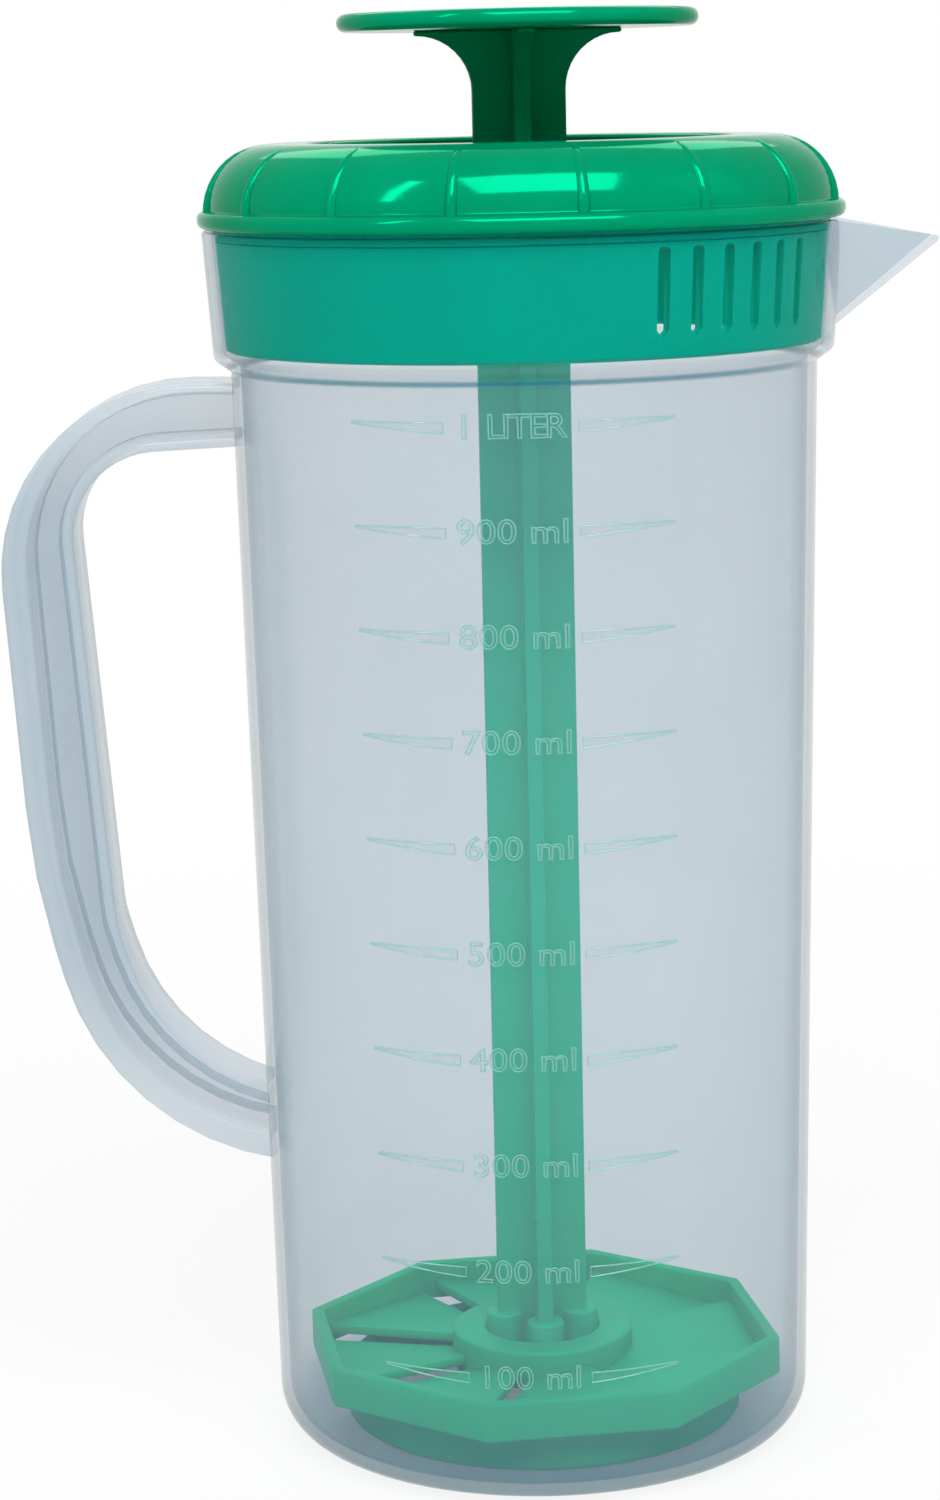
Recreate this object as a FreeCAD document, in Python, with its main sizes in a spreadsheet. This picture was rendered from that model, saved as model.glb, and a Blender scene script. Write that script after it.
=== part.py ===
"""A formula mixing pitcher: a jug with a strainer lid and a plunger that mixes what is in it.

Millimetres, +Z up. The origin lies on the jug's axis, on the flat base that it stands on.
The spout points along +X, the handle along -X and the volume scale faces -Y.
"""
import FreeCAD
import Part
import Sketcher
import math
import os

ORIGIN = FreeCAD.Vector(0, 0, 0)
UP = FreeCAD.Vector(0, 0, 1)
ALONG_Y = FreeCAD.Vector(0, 1, 0)
START_INDEX, END_INDEX, CENTRE_INDEX = 1, 2, 3
BARE_PLANE = -1
FIN_PLANES = ("XZ_Plane", "YZ_Plane")

SIZES = {
    "base_radius": (44.07, "outer radius that the body's wall would have at the base"),
    "body_taper": (2.98, "how much wider the body is at its top than at its base"),
    "shoulder_height": (177.6, "height of the body below the neck"),
    "shoulder_rise": (1.8, "height of the sloped step into the neck"),
    "shoulder_step": (2.69, "how far the neck stands out over the body"),
    "neck_flare": (1.34, "how much wider the rim is than the neck's lower edge"),
    "neck_height": (20.4, "height of the neck"),
    "jug_wall": (1.5, "wall of the jug"),
    "floor_thickness": (2.0, "floor of the jug"),
    "step_share": (0.55, "rise of the step's inside, as a share of the wall"),
    "cut_spare": (1.0, "how far a cut starts or ends clear of what it cuts"),
    "base_round": (8.0, "outer rounding between wall and base"),
    "neck_round": (1.4, "rounding at the neck's lower edge"),
    "spout_half_width": (15.5, "half width of the spout where it meets the neck"),
    "spout_keel_rise": (0.6, "height over the neck's lower edge where the keel leaves the neck"),
    "spout_length": (15.62, "how far the lip stands out from the rim"),
    "spout_lip_drop": (3.4, "depth of the lip under the rim"),
    "spout_lip_half_width": (0.8, "half width of the lip"),
    "spout_lip_depth": (1.0, "depth of the lip"),
    "spout_wall": (1.7, "wall of the spout, measured along each axis of its section"),
    "spout_lap": (0.2, "how far the spout is drawn into the neck before it is trimmed"),
    "lip_wall": (1.36, "wall at the spout's lip"),
    "lip_channel_half_width": (0.4, "half width of the channel at the lip"),
    "lip_channel_depth": (0.25, "depth of the channel at the lip"),
    "channel_run_in": (6.0, "how far the channel is cut inwards from the spout's root"),
    "handle_depth": (17.0, "width of the handle's flanges"),
    "handle_web": (3.2, "thickness of the web between the flanges"),
    "handle_flange": (2.9, "thickness of each flange"),
    "handle_sunk": (6.07, "how far the handle's outline runs into the jug before it is trimmed"),
    "arm_top_drop": (2.0, "upper arm, upper edge at the root under the shoulder"),
    "arm_top_underside_drop": (11.5, "upper arm, lower edge at the root under the shoulder"),
    "arm_low_drop": (120.3, "lower arm, upper edge at the root under the shoulder"),
    "arm_low_underside_drop": (130.5, "lower arm, lower edge at the root under the shoulder"),
    "knuckle_out": (42.58, "outer edge, upper corner out from the base's radius"),
    "knuckle_drop": (1.0, "outer edge, upper corner under the shoulder"),
    "knuckle_round": (30.5, "outer edge, rounding of the upper corner"),
    "palm_out": (37.53, "outer edge, middle bend out from the base's radius"),
    "palm_drop": (81.5, "outer edge, middle bend under the shoulder"),
    "palm_round": (120.0, "outer edge, rounding of the middle bend"),
    "heel_out": (26.1, "outer edge, lower corner out from the base's radius"),
    "heel_drop": (125.0, "outer edge, lower corner under the shoulder"),
    "heel_round": (43.0, "outer edge, rounding of the lower corner"),
    "finger_top_out": (29.74, "inner edge, upper corner out from the base's radius"),
    "finger_top_drop": (12.9, "inner edge, upper corner under the shoulder"),
    "finger_top_round": (13.9, "inner edge, rounding of the upper corner"),
    "finger_mid_out": (24.08, "inner edge, middle bend out from the base's radius"),
    "finger_mid_drop": (89.5, "inner edge, middle bend under the shoulder"),
    "finger_mid_round": (20.0, "inner edge, rounding of the middle bend"),
    "finger_low_out": (17.33, "inner edge, lower corner out from the base's radius"),
    "finger_low_drop": (113.0, "inner edge, lower corner under the shoulder"),
    "finger_low_round": (34.5, "inner edge, rounding of the lower corner"),
    "mark_first_height": (22.0, "height of the lowest volume mark"),
    "mark_top_drop": (6.2, "depth of the highest volume mark under the shoulder"),
    "mark_pitch_loss": (0.2, "how much closer each mark is than the one below it was"),
    "mark_turn": (3.6, "angle from the front to the middle of the marks, toward the handle"),
    "mark_count": (10, "number of volume marks"),
    "mark_proud": (0.4, "how far a mark stands out of the wall"),
    "mark_root_height": (1.7, "height of a mark beside its number"),
    "mark_tip_height": (0.4, "height of a mark at its outer end"),
    "mark_start_angle": (12.5, "angle from the marks' middle to a mark's inner end"),
    "mark_end_angle": (31.1, "angle from the marks' middle to a mark's outer end"),
    "seat_gap": (0.3, "gap under the lid's flange and under the mixer"),
    "flange_overhang": (0.67, "how far the lid's flange stands out over the rim"),
    "flange_thickness": (2.85, "thickness of the flange"),
    "bead_share": (0.45, "rounding of the flange's edges, as a share of its thickness"),
    "dome_setback": (1.55, "how far the dome stands back from the flange's edge"),
    "dome_height": (10.25, "height of the dome over the flange"),
    "dome_round": (10.0, "outer rounding of the dome"),
    "lid_wall": (1.8, "wall of the lid cap"),
    "recess_round_share": (0.7, "rounding of the recess's edges, as a share of the wall"),
    "land_radius": (33.5, "inner edge of the dome's flat top"),
    "deck_drop": (8.2, "depth of the recessed deck under the dome's top"),
    "deck_slope": (2.0, "how far the recess narrows down to its deck"),
    "boss_bore_radius": (10.3, "radius of the bore for the guide bush"),
    "boss_wall": (2.1, "wall of the boss round its bore"),
    "boss_rise": (3.6, "height of the boss over the deck"),
    "boss_drop": (7.2, "length of the boss under the deck"),
    "rib_count": (16, "number of ribs on the dome"),
    "rib_angle": (1.7, "angle that a rib takes up round the dome"),
    "rib_overrun": (1.5, "how far a rib runs in over the flat top"),
    "rib_proud": (0.9, "how far a rib stands out at its foot"),
    "rib_top_proud": (0.22, "how far a rib stands out at the dome's top"),
    "rib_sunk": (0.9, "how deep a rib is rooted in the dome"),
    "rib_first_angle": (9.7, "angle of the first rib"),
    "collar_gap": (0.35, "gap between the collar and the neck"),
    "collar_wall": (2.0, "wall of the strainer collar"),
    "collar_rise": (1.3, "height of the collar's lower edge over the neck's"),
    "collar_round": (0.9, "rounding of the collar's lower edge"),
    "spigot_height": (3.0, "length of the collar's spigot inside the cap"),
    "slot_count": (6, "number of strainer slots"),
    "slot_pitch": (7.0, "angle between slots"),
    "slot_first_angle": (-65.3, "angle of the first slot from the spout"),
    "slot_width": (2.1, "width of a slot"),
    "slot_rise": (3.3, "height of the slots' lower end over the collar's lower edge"),
    "slot_drop": (0.6, "depth of the slots' upper end under the seal"),
    "slot_round_share": (0.8, "rounding of a slot's top, as a share of its half width"),
    "seal_drop": (1.6, "depth of the seal's lower face under the rim"),
    "seal_height": (1.4, "height of the seal"),
    "seal_depth": (1.1, "depth of the seal's groove in the collar"),
    "seal_round_share": (0.25, "rounding of the seal's edges, as a share of its height"),
    "running_gap": (0.06, "radial gap of parts that turn in each other"),
    "bush_head_height": (1.5, "height of the bush's head"),
    "bush_head_lap": (1.3, "how far the bush's head reaches over the boss"),
    "bush_lip_lap": (0.5, "how far the snap lip reaches under the boss"),
    "bush_lip_height": (1.0, "height of the snap lip"),
    "slide_gap": (0.25, "gap between the shaft's fins and the bush"),
    "plunger_angle": (4.0, "how far the plunger is turned about the axis"),
    "fin_half_width": (7.45, "half width of the finned shaft"),
    "fin_thickness": (2.6, "thickness of a fin"),
    "flare_out": (9.05, "how far the fins flare out under the knob, on each side"),
    "flare_round": (8.7, "rounding of the fins' flare"),
    "flare_edge": (0.8, "height of the fins at the flare's end"),
    "knob_radius": (28.7, "radius of the push knob"),
    "knob_thickness": (3.3, "thickness of the knob"),
    "knob_crown": (0.5, "rise of the knob's top towards its middle"),
    "knob_round_share": (0.49, "rounding of the knob's edges, as a share of the edge's height"),
    "knob_rise": (17.1, "height of the knob's underside over the dome"),
    "octagon_gap": (2.07, "gap between the corners of the disc's rim and the jug's wall"),
    "octagon_angle": (31.0, "angle of the rim's first corner"),
    "octagon_sides": (8, "number of the rim's sides and of blades"),
    "rim_wall": (2.0, "wall of the disc's rim"),
    "rim_wall_height": (6.5, "height of the disc's rim"),
    "hub_wall": (4.7, "wall of the hub round its recess"),
    "hub_height": (5.9, "height of the hub"),
    "hub_gap": (0.4, "gap between the foot lugs and the hub's recess"),
    "hub_floor": (2.6, "thickness under the recess"),
    "hub_round": (0.65, "rounding of the hub's upper edge"),
    "lug_radius": (2.8, "radius of a foot lug"),
    "lug_inset": (1.15, "distance of a lug's centre from the fin's edge"),
    "lug_height": (2.2, "height of a lug"),
    "blade_thickness": (1.5, "thickness of a blade"),
    "blade_rise": (2.0, "height from a blade's low edge to its high edge"),
    "blade_slit": (3.0, "angle of the slit between blades"),
    "ring_inset": (7.5, "how far the lower ring stands back from the rim's corners"),
    "ring_height": (7.3, "height of the lower ring"),
    "ring_wall": (2.0, "wall of the lower ring"),
    "ring_round_share": (0.4, "rounding of the ring's lower edge, as a share of its wall"),
}

doc = FreeCAD.newDocument("pitcher")
sheet = doc.addObject("Spreadsheet::Sheet", "Sizes")
for row, (alias, (number, meaning)) in enumerate(SIZES.items(), start=1):
    sheet.set(f"A{row}", meaning)
    sheet.set(f"B{row}", str(number))
    sheet.setAlias(f"B{row}", alias)
doc.recompute()


class Size:
    """A number from the sheet, or worked out from it, with the formula that says how."""

    def __init__(self, value, formula):
        self.value = value
        self.formula = formula

    @staticmethod
    def of(other):
        return other if isinstance(other, Size) else Size(other, repr(float(other)))

    def __add__(self, other):
        other = Size.of(other)
        return Size(self.value + other.value, f"({self.formula} + {other.formula})")

    def __sub__(self, other):
        other = Size.of(other)
        return Size(self.value - other.value, f"({self.formula} - {other.formula})")

    def __mul__(self, other):
        other = Size.of(other)
        return Size(self.value * other.value, f"({self.formula} * {other.formula})")

    def __truediv__(self, other):
        other = Size.of(other)
        return Size(self.value / other.value, f"({self.formula} / {other.formula})")

    def __neg__(self):
        return Size(-self.value, f"(-1 * {self.formula})")


def size(alias):
    """The size of this name in the sheet."""
    return Size(float(sheet.get(alias)), f"Sizes.{alias}")


def root(term):
    return Size(math.sqrt(term.value), f"sqrt({term.formula})")


def cosine(degrees):
    return Size(math.cos(math.radians(degrees.value)), f"cos({degrees.formula} * 1 deg)")


def bind(thing, **properties):
    """Ties properties of an object to their formulas."""
    for name, term in properties.items():
        thing.setExpression(name, Size.of(term).formula)


def between(low, high, share):
    """The size at this share of the way from low to high."""
    return low + (high - low) * share


# Sketches

def tangent_points(before, corner, after, radius):
    """Where a rounding touches the two edges of a corner, its centre, and if it turns left."""
    to_before = (before - corner).normalize()
    to_after = (after - corner).normalize()
    half = to_before.getAngle(to_after) / 2
    reach = radius / math.tan(half)
    centre = corner + (to_before + to_after).normalize() * (radius / math.sin(half))
    turns_left = to_before.cross(to_after).z < 0
    return corner + to_before * reach, corner + to_after * reach, centre, turns_left


def draw_outline(sketch, corners):
    """Draws a closed outline through corners of (x, y, rounding or None), held by the sheet."""
    spots = [FreeCAD.Vector(x.value, y.value, 0) for x, y, _ in corners]
    count = len(corners)
    arrive, leave, arcs = {}, {}, {}
    for i, (_, _, rounding) in enumerate(corners):
        arrive[i] = leave[i] = spots[i]
        if rounding is not None:
            arrive[i], leave[i], centre, left = tangent_points(
                spots[i - 1], spots[i], spots[(i + 1) % count], rounding.value)
            arcs[i] = (centre, left)
    lines = [sketch.addGeometry(Part.LineSegment(leave[i], arrive[(i + 1) % count]), False)
             for i in range(count)]
    held = []
    for i, (x, y, rounding) in enumerate(corners):
        line_in, line_out = lines[i - 1], lines[i]
        if rounding is None:
            sketch.addConstraint(Sketcher.Constraint(
                "Coincident", line_in, END_INDEX, line_out, START_INDEX))
            point = (line_out, START_INDEX)
        else:
            centre, left = arcs[i]
            start, end = (arrive[i], leave[i]) if left else (leave[i], arrive[i])
            spokes = [point_ - centre for point_ in (start, end)]
            angles = [math.atan2(spoke.y, spoke.x) for spoke in spokes]
            circle = Part.Circle(centre, UP, rounding.value)
            arc = sketch.addGeometry(Part.ArcOfCircle(circle, *angles), False)
            mark = sketch.addGeometry(Part.Point(spots[i]), True)
            first, last = (START_INDEX, END_INDEX) if left else (END_INDEX, START_INDEX)
            sketch.addConstraint([
                Sketcher.Constraint("PointOnObject", mark, START_INDEX, line_in),
                Sketcher.Constraint("PointOnObject", mark, START_INDEX, line_out),
                Sketcher.Constraint("Tangent", line_in, END_INDEX, arc, first),
                Sketcher.Constraint("Tangent", arc, last, line_out, START_INDEX)])
            at = sketch.addConstraint(Sketcher.Constraint("Radius", arc, rounding.value))
            held.append((at, rounding))
            point = (mark, START_INDEX)
        for kind, term in (("DistanceX", x), ("DistanceY", y)):
            at = sketch.addConstraint(
                Sketcher.Constraint(kind, BARE_PLANE, START_INDEX, *point, term.value))
            held.append((at, term))
    for at, term in held:
        sketch.setExpression(f"Constraints[{at}]", term.formula)


def draw_circle(sketch, x, y, radius):
    """Draws a circle held by the sheet."""
    centre = FreeCAD.Vector(x.value, y.value, 0)
    ring = sketch.addGeometry(Part.Circle(centre, UP, radius.value), False)
    for constraint, term in (
            (Sketcher.Constraint("DistanceX", BARE_PLANE, START_INDEX, ring, CENTRE_INDEX, x.value), x),
            (Sketcher.Constraint("DistanceY", BARE_PLANE, START_INDEX, ring, CENTRE_INDEX, y.value), y),
            (Sketcher.Constraint("Radius", ring, radius.value), radius)):
        at = sketch.addConstraint(constraint)
        sketch.setExpression(f"Constraints[{at}]", term.formula)


def new_body(name, turned=None):
    """A body with this name, turned about the axis by an angle from the sheet."""
    body = doc.addObject("PartDesign::Body", name)
    body.Label = name
    body.AllowCompound = True
    if turned is not None:
        body.Placement = FreeCAD.Placement(ORIGIN, FreeCAD.Rotation(UP, turned.value))
        body.setExpression("Placement.Rotation.Angle", turned.formula)
    return body


def new_sketch(body, name, plane, away=None, turned=None):
    """A sketch on one of the body's own planes, moved off it or turned about the axis."""
    sketch = body.newObject("Sketcher::SketchObject", name)
    support = next(item for item in body.Origin.OriginFeatures if item.Role == plane)
    sketch.AttachmentSupport = [(support, "")]
    sketch.MapMode = "FlatFace"
    if away is not None:
        sketch.setExpression("AttachmentOffset.Base.z", away.formula)
    if turned is not None:
        sketch.AttachmentOffset = FreeCAD.Placement(
            ORIGIN, FreeCAD.Rotation(ALONG_Y, turned.value))
        sketch.setExpression("AttachmentOffset.Rotation.Angle", turned.formula)
    return sketch


def revolve(body, name, corners, kind="PartDesign::Revolution"):
    """Turns an outline of (radius, height, rounding) once round the axis."""
    sketch = new_sketch(body, name + "_outline", "XZ_Plane")
    draw_outline(sketch, corners)
    feature = body.newObject(kind, name)
    feature.Profile = sketch
    feature.ReferenceAxis = (sketch, ["V_Axis"])
    feature.Angle = 360
    doc.recompute()
    return feature


def pad(body, name, sketch, length, kind="PartDesign::Pad", symmetric=False, flip=False):
    """Pads or pockets a sketch by a length from the sheet."""
    feature = body.newObject(kind, name)
    feature.Profile = sketch
    feature.SideType = "Symmetric" if symmetric else "One side"
    feature.Reversed = flip
    bind(feature, Length=length)
    doc.recompute()
    return feature


def repeat(body, name, features, count, angle=360):
    """Repeats features evenly round the axis, over a full turn or this angle."""
    pattern = body.newObject("PartDesign::PolarPattern", name)
    pattern.Originals = features
    pattern.Axis = (next(item for item in body.Origin.OriginFeatures if item.Role == "Z_Axis"), [""])
    bind(pattern, Occurrences=count, Angle=angle)
    body.Tip = pattern
    doc.recompute()
    return pattern


def corner(x, y, rounding=None):
    return Size.of(x), Size.of(y), rounding


# Sizes that several pieces share

wall = size("jug_wall")
spare = size("cut_spare")
base_radius = size("base_radius")
shoulder_radius = base_radius + size("body_taper")
neck_radius = shoulder_radius + size("shoulder_step")
rim_radius = neck_radius + size("neck_flare")
shoulder_height = size("shoulder_height")
neck_bottom = shoulder_height + size("shoulder_rise")
rim_height = neck_bottom + size("neck_height")
neck_inside = neck_radius - wall
rim_inside = rim_radius - wall
step_inside = wall * size("step_share")
neck_inside_bottom = neck_bottom + step_inside
spout_keel = neck_bottom + size("spout_keel_rise")
spout_lip_height = rim_height - size("spout_lip_drop")
spout_reach = rim_radius + size("spout_length")
spout_root = root(rim_radius * rim_radius
                  - size("spout_half_width") * size("spout_half_width")) - size("spout_lap")
seal_bottom = rim_height - size("seal_drop")
seal_top = seal_bottom + size("seal_height")
collar_bottom = neck_bottom + size("collar_rise")
flange_radius = rim_radius + size("flange_overhang")
flange_bottom = rim_height + size("seat_gap")
flange_top = flange_bottom + size("flange_thickness")
dome_radius = flange_radius - size("dome_setback")
dome_top = flange_top + size("dome_height")
spigot_radius = dome_radius - size("lid_wall")
deck_top = dome_top - size("deck_drop")
deck_underside = deck_top - size("lid_wall")
boss_radius = size("boss_bore_radius") + size("boss_wall")
boss_top = deck_top + size("boss_rise")
boss_bottom = deck_underside - size("boss_drop")
knob_underside = dome_top + size("knob_rise")
ring_bottom = size("floor_thickness") + size("seat_gap")
mixer_bottom = ring_bottom + size("ring_height")
foot_seat = mixer_bottom + size("hub_floor")
octagon_radius = base_radius - wall - size("octagon_gap")
half_side = Size.of(180) / size("octagon_sides")
rim_corner_inside = octagon_radius - size("rim_wall") / cosine(half_side)
lug_reach = size("fin_half_width") - size("lug_inset")
hub_recess_radius = lug_reach + size("lug_radius") + size("hub_gap")
hub_radius = hub_recess_radius + size("hub_wall")


def neck_radius_at(height):
    """The neck's inner radius at a height."""
    share = (height - neck_inside_bottom) / (rim_height - neck_inside_bottom)
    return between(neck_inside, rim_inside, share)


# Jug

def draw_vee(sketch, half_width, top, keel):
    """Draws an upright V of the spout's section. The sketch's x is Y and its y is Z."""
    draw_outline(sketch, [corner(-half_width, top), corner(0, keel), corner(half_width, top)])


def spout_section(body, name, x, half_width, top, keel):
    sketch = new_sketch(body, name, "YZ_Plane", away=x)
    draw_vee(sketch, half_width, top, keel)
    return sketch


def cut_channel(body):
    """Cuts the spout's open channel, from inside the neck to its lip."""
    side = size("spout_half_width") - size("spout_wall")
    keel = spout_keel + size("spout_wall")
    near = spout_section(body, body.Name + "_channel_near", spout_root,
                         side, rim_height + spare, keel)
    far = spout_section(body, body.Name + "_channel_far", spout_reach - size("lip_wall"),
                        size("lip_channel_half_width"), spout_lip_height + spare,
                        spout_lip_height - size("lip_channel_depth"))
    loft = body.newObject("PartDesign::SubtractiveLoft", body.Name + "_channel")
    loft.Profile = near
    loft.Sections = [far]
    loft.Ruled = True
    doc.recompute()
    mouth = spout_section(body, body.Name + "_channel_mouth", spout_root,
                          side, rim_height + spare, keel)
    pad(body, body.Name + "_channel_inner", mouth, size("channel_run_in"), "PartDesign::Pocket")


def make_jug_body():
    body = new_body("jug_body")
    revolve(body, "jug_shell", [
        corner(0, 0),
        corner(base_radius, 0, size("base_round")),
        corner(shoulder_radius, shoulder_height),
        corner(neck_radius, neck_bottom, size("neck_round")),
        corner(rim_radius, rim_height),
        corner(rim_inside, rim_height),
        corner(neck_inside, neck_inside_bottom),
        corner(shoulder_radius - wall, shoulder_height + step_inside),
        corner(base_radius - wall, size("floor_thickness"), size("base_round") - wall),
        corner(0, size("floor_thickness"))])
    cut_channel(body)
    return body


def make_pour_spout():
    body = new_body("pour_spout")
    near = spout_section(body, "spout_near", spout_root, size("spout_half_width"),
                         rim_height, spout_keel)
    far = spout_section(body, "spout_far", spout_reach, size("spout_lip_half_width"),
                        spout_lip_height,
                        spout_lip_height - size("spout_lip_depth"))
    loft = body.newObject("PartDesign::AdditiveLoft", "spout_wedge")
    loft.Profile = near
    loft.Sections = [far]
    loft.Ruled = True
    doc.recompute()
    cut_channel(body)
    above, below = rim_height + spare, neck_bottom - spare
    lean = (rim_radius - neck_radius) / (rim_height - neck_bottom)
    revolve(body, "neck_clearance", [
        corner(0, below),
        corner(neck_radius - lean * spare, below),
        corner(rim_radius + lean * spare, above),
        corner(0, above)], "PartDesign::Groove")
    return body


def make_jug_handle():
    """An H section: a rim flange all round a thin web, ending on the jug's wall."""
    outline = doc.addObject("Sketcher::SketchObject", "handle_outline")
    outline.Placement = FreeCAD.Placement(
        ORIGIN, FreeCAD.Rotation(FreeCAD.Vector(1, 0, 0), 90))
    start = size("handle_sunk") - base_radius

    def bend(name):
        return corner(-base_radius - size(f"{name}_out"),
                      shoulder_height - size(f"{name}_drop"), size(f"{name}_round"))

    draw_outline(outline, [
        corner(start, shoulder_height - size("arm_top_drop")),
        bend("knuckle"), bend("palm"), bend("heel"),
        corner(start, shoulder_height - size("arm_low_underside_drop")),
        corner(start, shoulder_height - size("arm_low_drop")),
        bend("finger_low"), bend("finger_mid"), bend("finger_top"),
        corner(start, shoulder_height - size("arm_top_underside_drop"))])
    doc.recompute()
    recess = doc.addObject("Part::Offset2D", "handle_recess_outline")
    recess.Source = outline
    bind(recess, Value=-size("handle_flange"))

    def slab(name, source, depth):
        piece = doc.addObject("Part::Extrusion", name)
        piece.Base = source
        piece.DirMode = "Custom"
        piece.Dir = ALONG_Y
        piece.Solid = True
        piece.Symmetric = True
        bind(piece, LengthFwd=depth)
        return piece

    blank = slab("handle_blank", outline, size("handle_depth"))
    core = slab("handle_core", recess, size("handle_depth") + spare * 2)
    web = slab("handle_web_plate", recess, size("handle_web"))
    frame = doc.addObject("Part::Cut", "handle_frame")
    frame.Base, frame.Tool = blank, core
    whole = doc.addObject("Part::MultiFuse", "handle_whole")
    whole.Shapes = [frame, web]
    inside = doc.addObject("Part::Cone", "jug_envelope")
    taper = (shoulder_radius - base_radius) / shoulder_height
    bind(inside, Radius1=base_radius, Radius2=base_radius + taper * rim_height,
         Height=rim_height)
    handle = doc.addObject("Part::Cut", "jug_handle")
    handle.Base, handle.Tool = whole, inside
    return handle


def make_scale_marks():
    """Wedges that lie on the wall's cone, in pairs beside the place of each number.

    The wall widens upward, so the marks stand closer the higher they are.
    """
    def read(alias):
        return float(sheet.get(alias))

    height, low, high = shoulder_height.value, base_radius.value, shoulder_radius.value
    proud, count = read("mark_proud"), int(read("mark_count"))
    first, loss = read("mark_first_height"), read("mark_pitch_loss")
    pitch = (height - read("mark_top_drop") - first) / (count - 1) + loss * (count - 2) / 2
    skin = Part.makeCone(low + proud, high + proud, height).cut(Part.makeCone(low, high, height))
    marks = []
    for number in range(count):
        z = first + number * pitch - loss * number * (number - 1) / 2
        radius = low + (high - low) * z / height
        inner = radius * math.sin(math.radians(read("mark_start_angle")))
        outer = radius * math.sin(math.radians(read("mark_end_angle")))
        thick, thin = read("mark_root_height") / 2, read("mark_tip_height") / 2
        for side in (-1, 1):
            corners = [(inner, -thick), (inner, thick), (outer, thick), (outer, thick - 2 * thin)]
            points = [FreeCAD.Vector(side * x, -high - proud, z + up) for x, up in corners]
            face = Part.Face(Part.makePolygon(points + points[:1]))
            marks.append(face.extrude(FreeCAD.Vector(0, high, 0)).common(skin))
    feature = doc.addObject("Part::Feature", "scale_marks")
    scale = Part.makeCompound([solid for mark in marks for solid in mark.Solids])
    origin, upward = FreeCAD.Vector(0, 0, 0), FreeCAD.Vector(0, 0, 1)
    feature.Shape = scale.rotated(origin, upward, -read("mark_turn"))
    feature.Placement = FreeCAD.Placement()
    return feature


# Lid

def make_lid_cap():
    body = new_body("lid_cap", turned=size("rib_first_angle"))
    bead = size("flange_thickness") * size("bead_share")
    inner_round = size("dome_round") - size("lid_wall")
    skin = size("lid_wall")
    recess_round = skin * size("recess_round_share")
    land, deck = size("land_radius"), size("land_radius") - size("deck_slope")
    revolve(body, "cap_shell", [
        corner(spigot_radius, flange_bottom),
        corner(flange_radius, flange_bottom, bead),
        corner(flange_radius, flange_top, bead),
        corner(dome_radius, flange_top),
        corner(dome_radius, dome_top, size("dome_round")),
        corner(land, dome_top, recess_round),
        corner(deck, deck_top, recess_round),
        corner(boss_radius, deck_top),
        corner(boss_radius, boss_top),
        corner(size("boss_bore_radius"), boss_top),
        corner(size("boss_bore_radius"), boss_bottom),
        corner(boss_radius, boss_bottom),
        corner(boss_radius, deck_underside),
        corner(deck + skin, deck_underside),
        corner(land + skin, dome_top - skin),
        corner(spigot_radius, dome_top - skin, inner_round)])
    sketch = new_sketch(body, "rib_outline", "XZ_Plane")
    sunk = size("rib_sunk")
    inner = dome_radius - sunk
    foot = dome_radius + size("rib_proud")
    start = dome_radius - size("dome_round") - size("rib_overrun")
    draw_outline(sketch, [
        corner(inner, flange_top - sunk),
        corner(foot, flange_top - sunk),
        corner(foot, dome_top + size("rib_top_proud"), size("dome_round")),
        corner(start, dome_top - sunk),
        corner(inner, dome_top - sunk, size("dome_round") - sunk)])
    rib = body.newObject("PartDesign::Revolution", "rib")
    rib.Profile = sketch
    rib.ReferenceAxis = (sketch, ["V_Axis"])
    rib.Midplane = True
    bind(rib, Angle=size("rib_angle"))
    doc.recompute()
    repeat(body, "ribs", [rib], size("rib_count"))
    return body


def make_strainer_collar():
    body = new_body("strainer_collar")
    gap, thick = size("collar_gap"), size("collar_wall")
    bottom = collar_bottom
    depth = size("seal_depth")

    def outside(height):
        return neck_radius_at(height) - gap

    revolve(body, "collar_wall_ring", [
        corner(outside(bottom) - thick, bottom),
        corner(outside(bottom), bottom, size("collar_round")),
        corner(outside(seal_bottom), seal_bottom),
        corner(outside(seal_bottom) - depth, seal_bottom),
        corner(outside(seal_top) - depth, seal_top),
        corner(outside(seal_top), seal_top),
        corner(outside(flange_bottom), flange_bottom),
        corner(spigot_radius, flange_bottom),
        corner(spigot_radius, flange_bottom + size("spigot_height")),
        corner(spigot_radius - thick, flange_bottom + size("spigot_height")),
        corner(outside(seal_bottom) - thick, seal_bottom)])
    cut_slots(body)
    return body


def cut_slots(body):
    """Cuts the strainer slots, rounded above and pointed below, through one side of the wall."""
    half = size("slot_width") / 2
    rounding = half * size("slot_round_share")
    low = collar_bottom + size("slot_rise")
    high = seal_bottom - size("slot_drop")
    sketch = new_sketch(body, "slot_outline", "YZ_Plane", turned=size("slot_first_angle"))
    draw_outline(sketch, [
        corner(-half, low + half),
        corner(0, low),
        corner(half, low + half),
        corner(half, high, rounding),
        corner(-half, high, rounding)])
    slot = pad(body, "slot", sketch, rim_radius, "PartDesign::Pocket", flip=True)
    count = size("slot_count")
    repeat(body, "slots", [slot], count, size("slot_pitch") * (count - 1))


def make_seal_ring():
    body = new_body("seal_ring")
    gap = size("running_gap")
    low = seal_bottom + gap
    high = seal_top - gap
    outside = neck_radius_at(low) - gap
    inside = neck_radius_at(high) - size("collar_gap") - size("seal_depth") + gap
    rounding = size("seal_height") * size("seal_round_share")
    revolve(body, "seal_profile", [
        corner(inside, low),
        corner(outside, low, rounding),
        corner(outside, high, rounding),
        corner(inside, high)])
    return body


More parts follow.
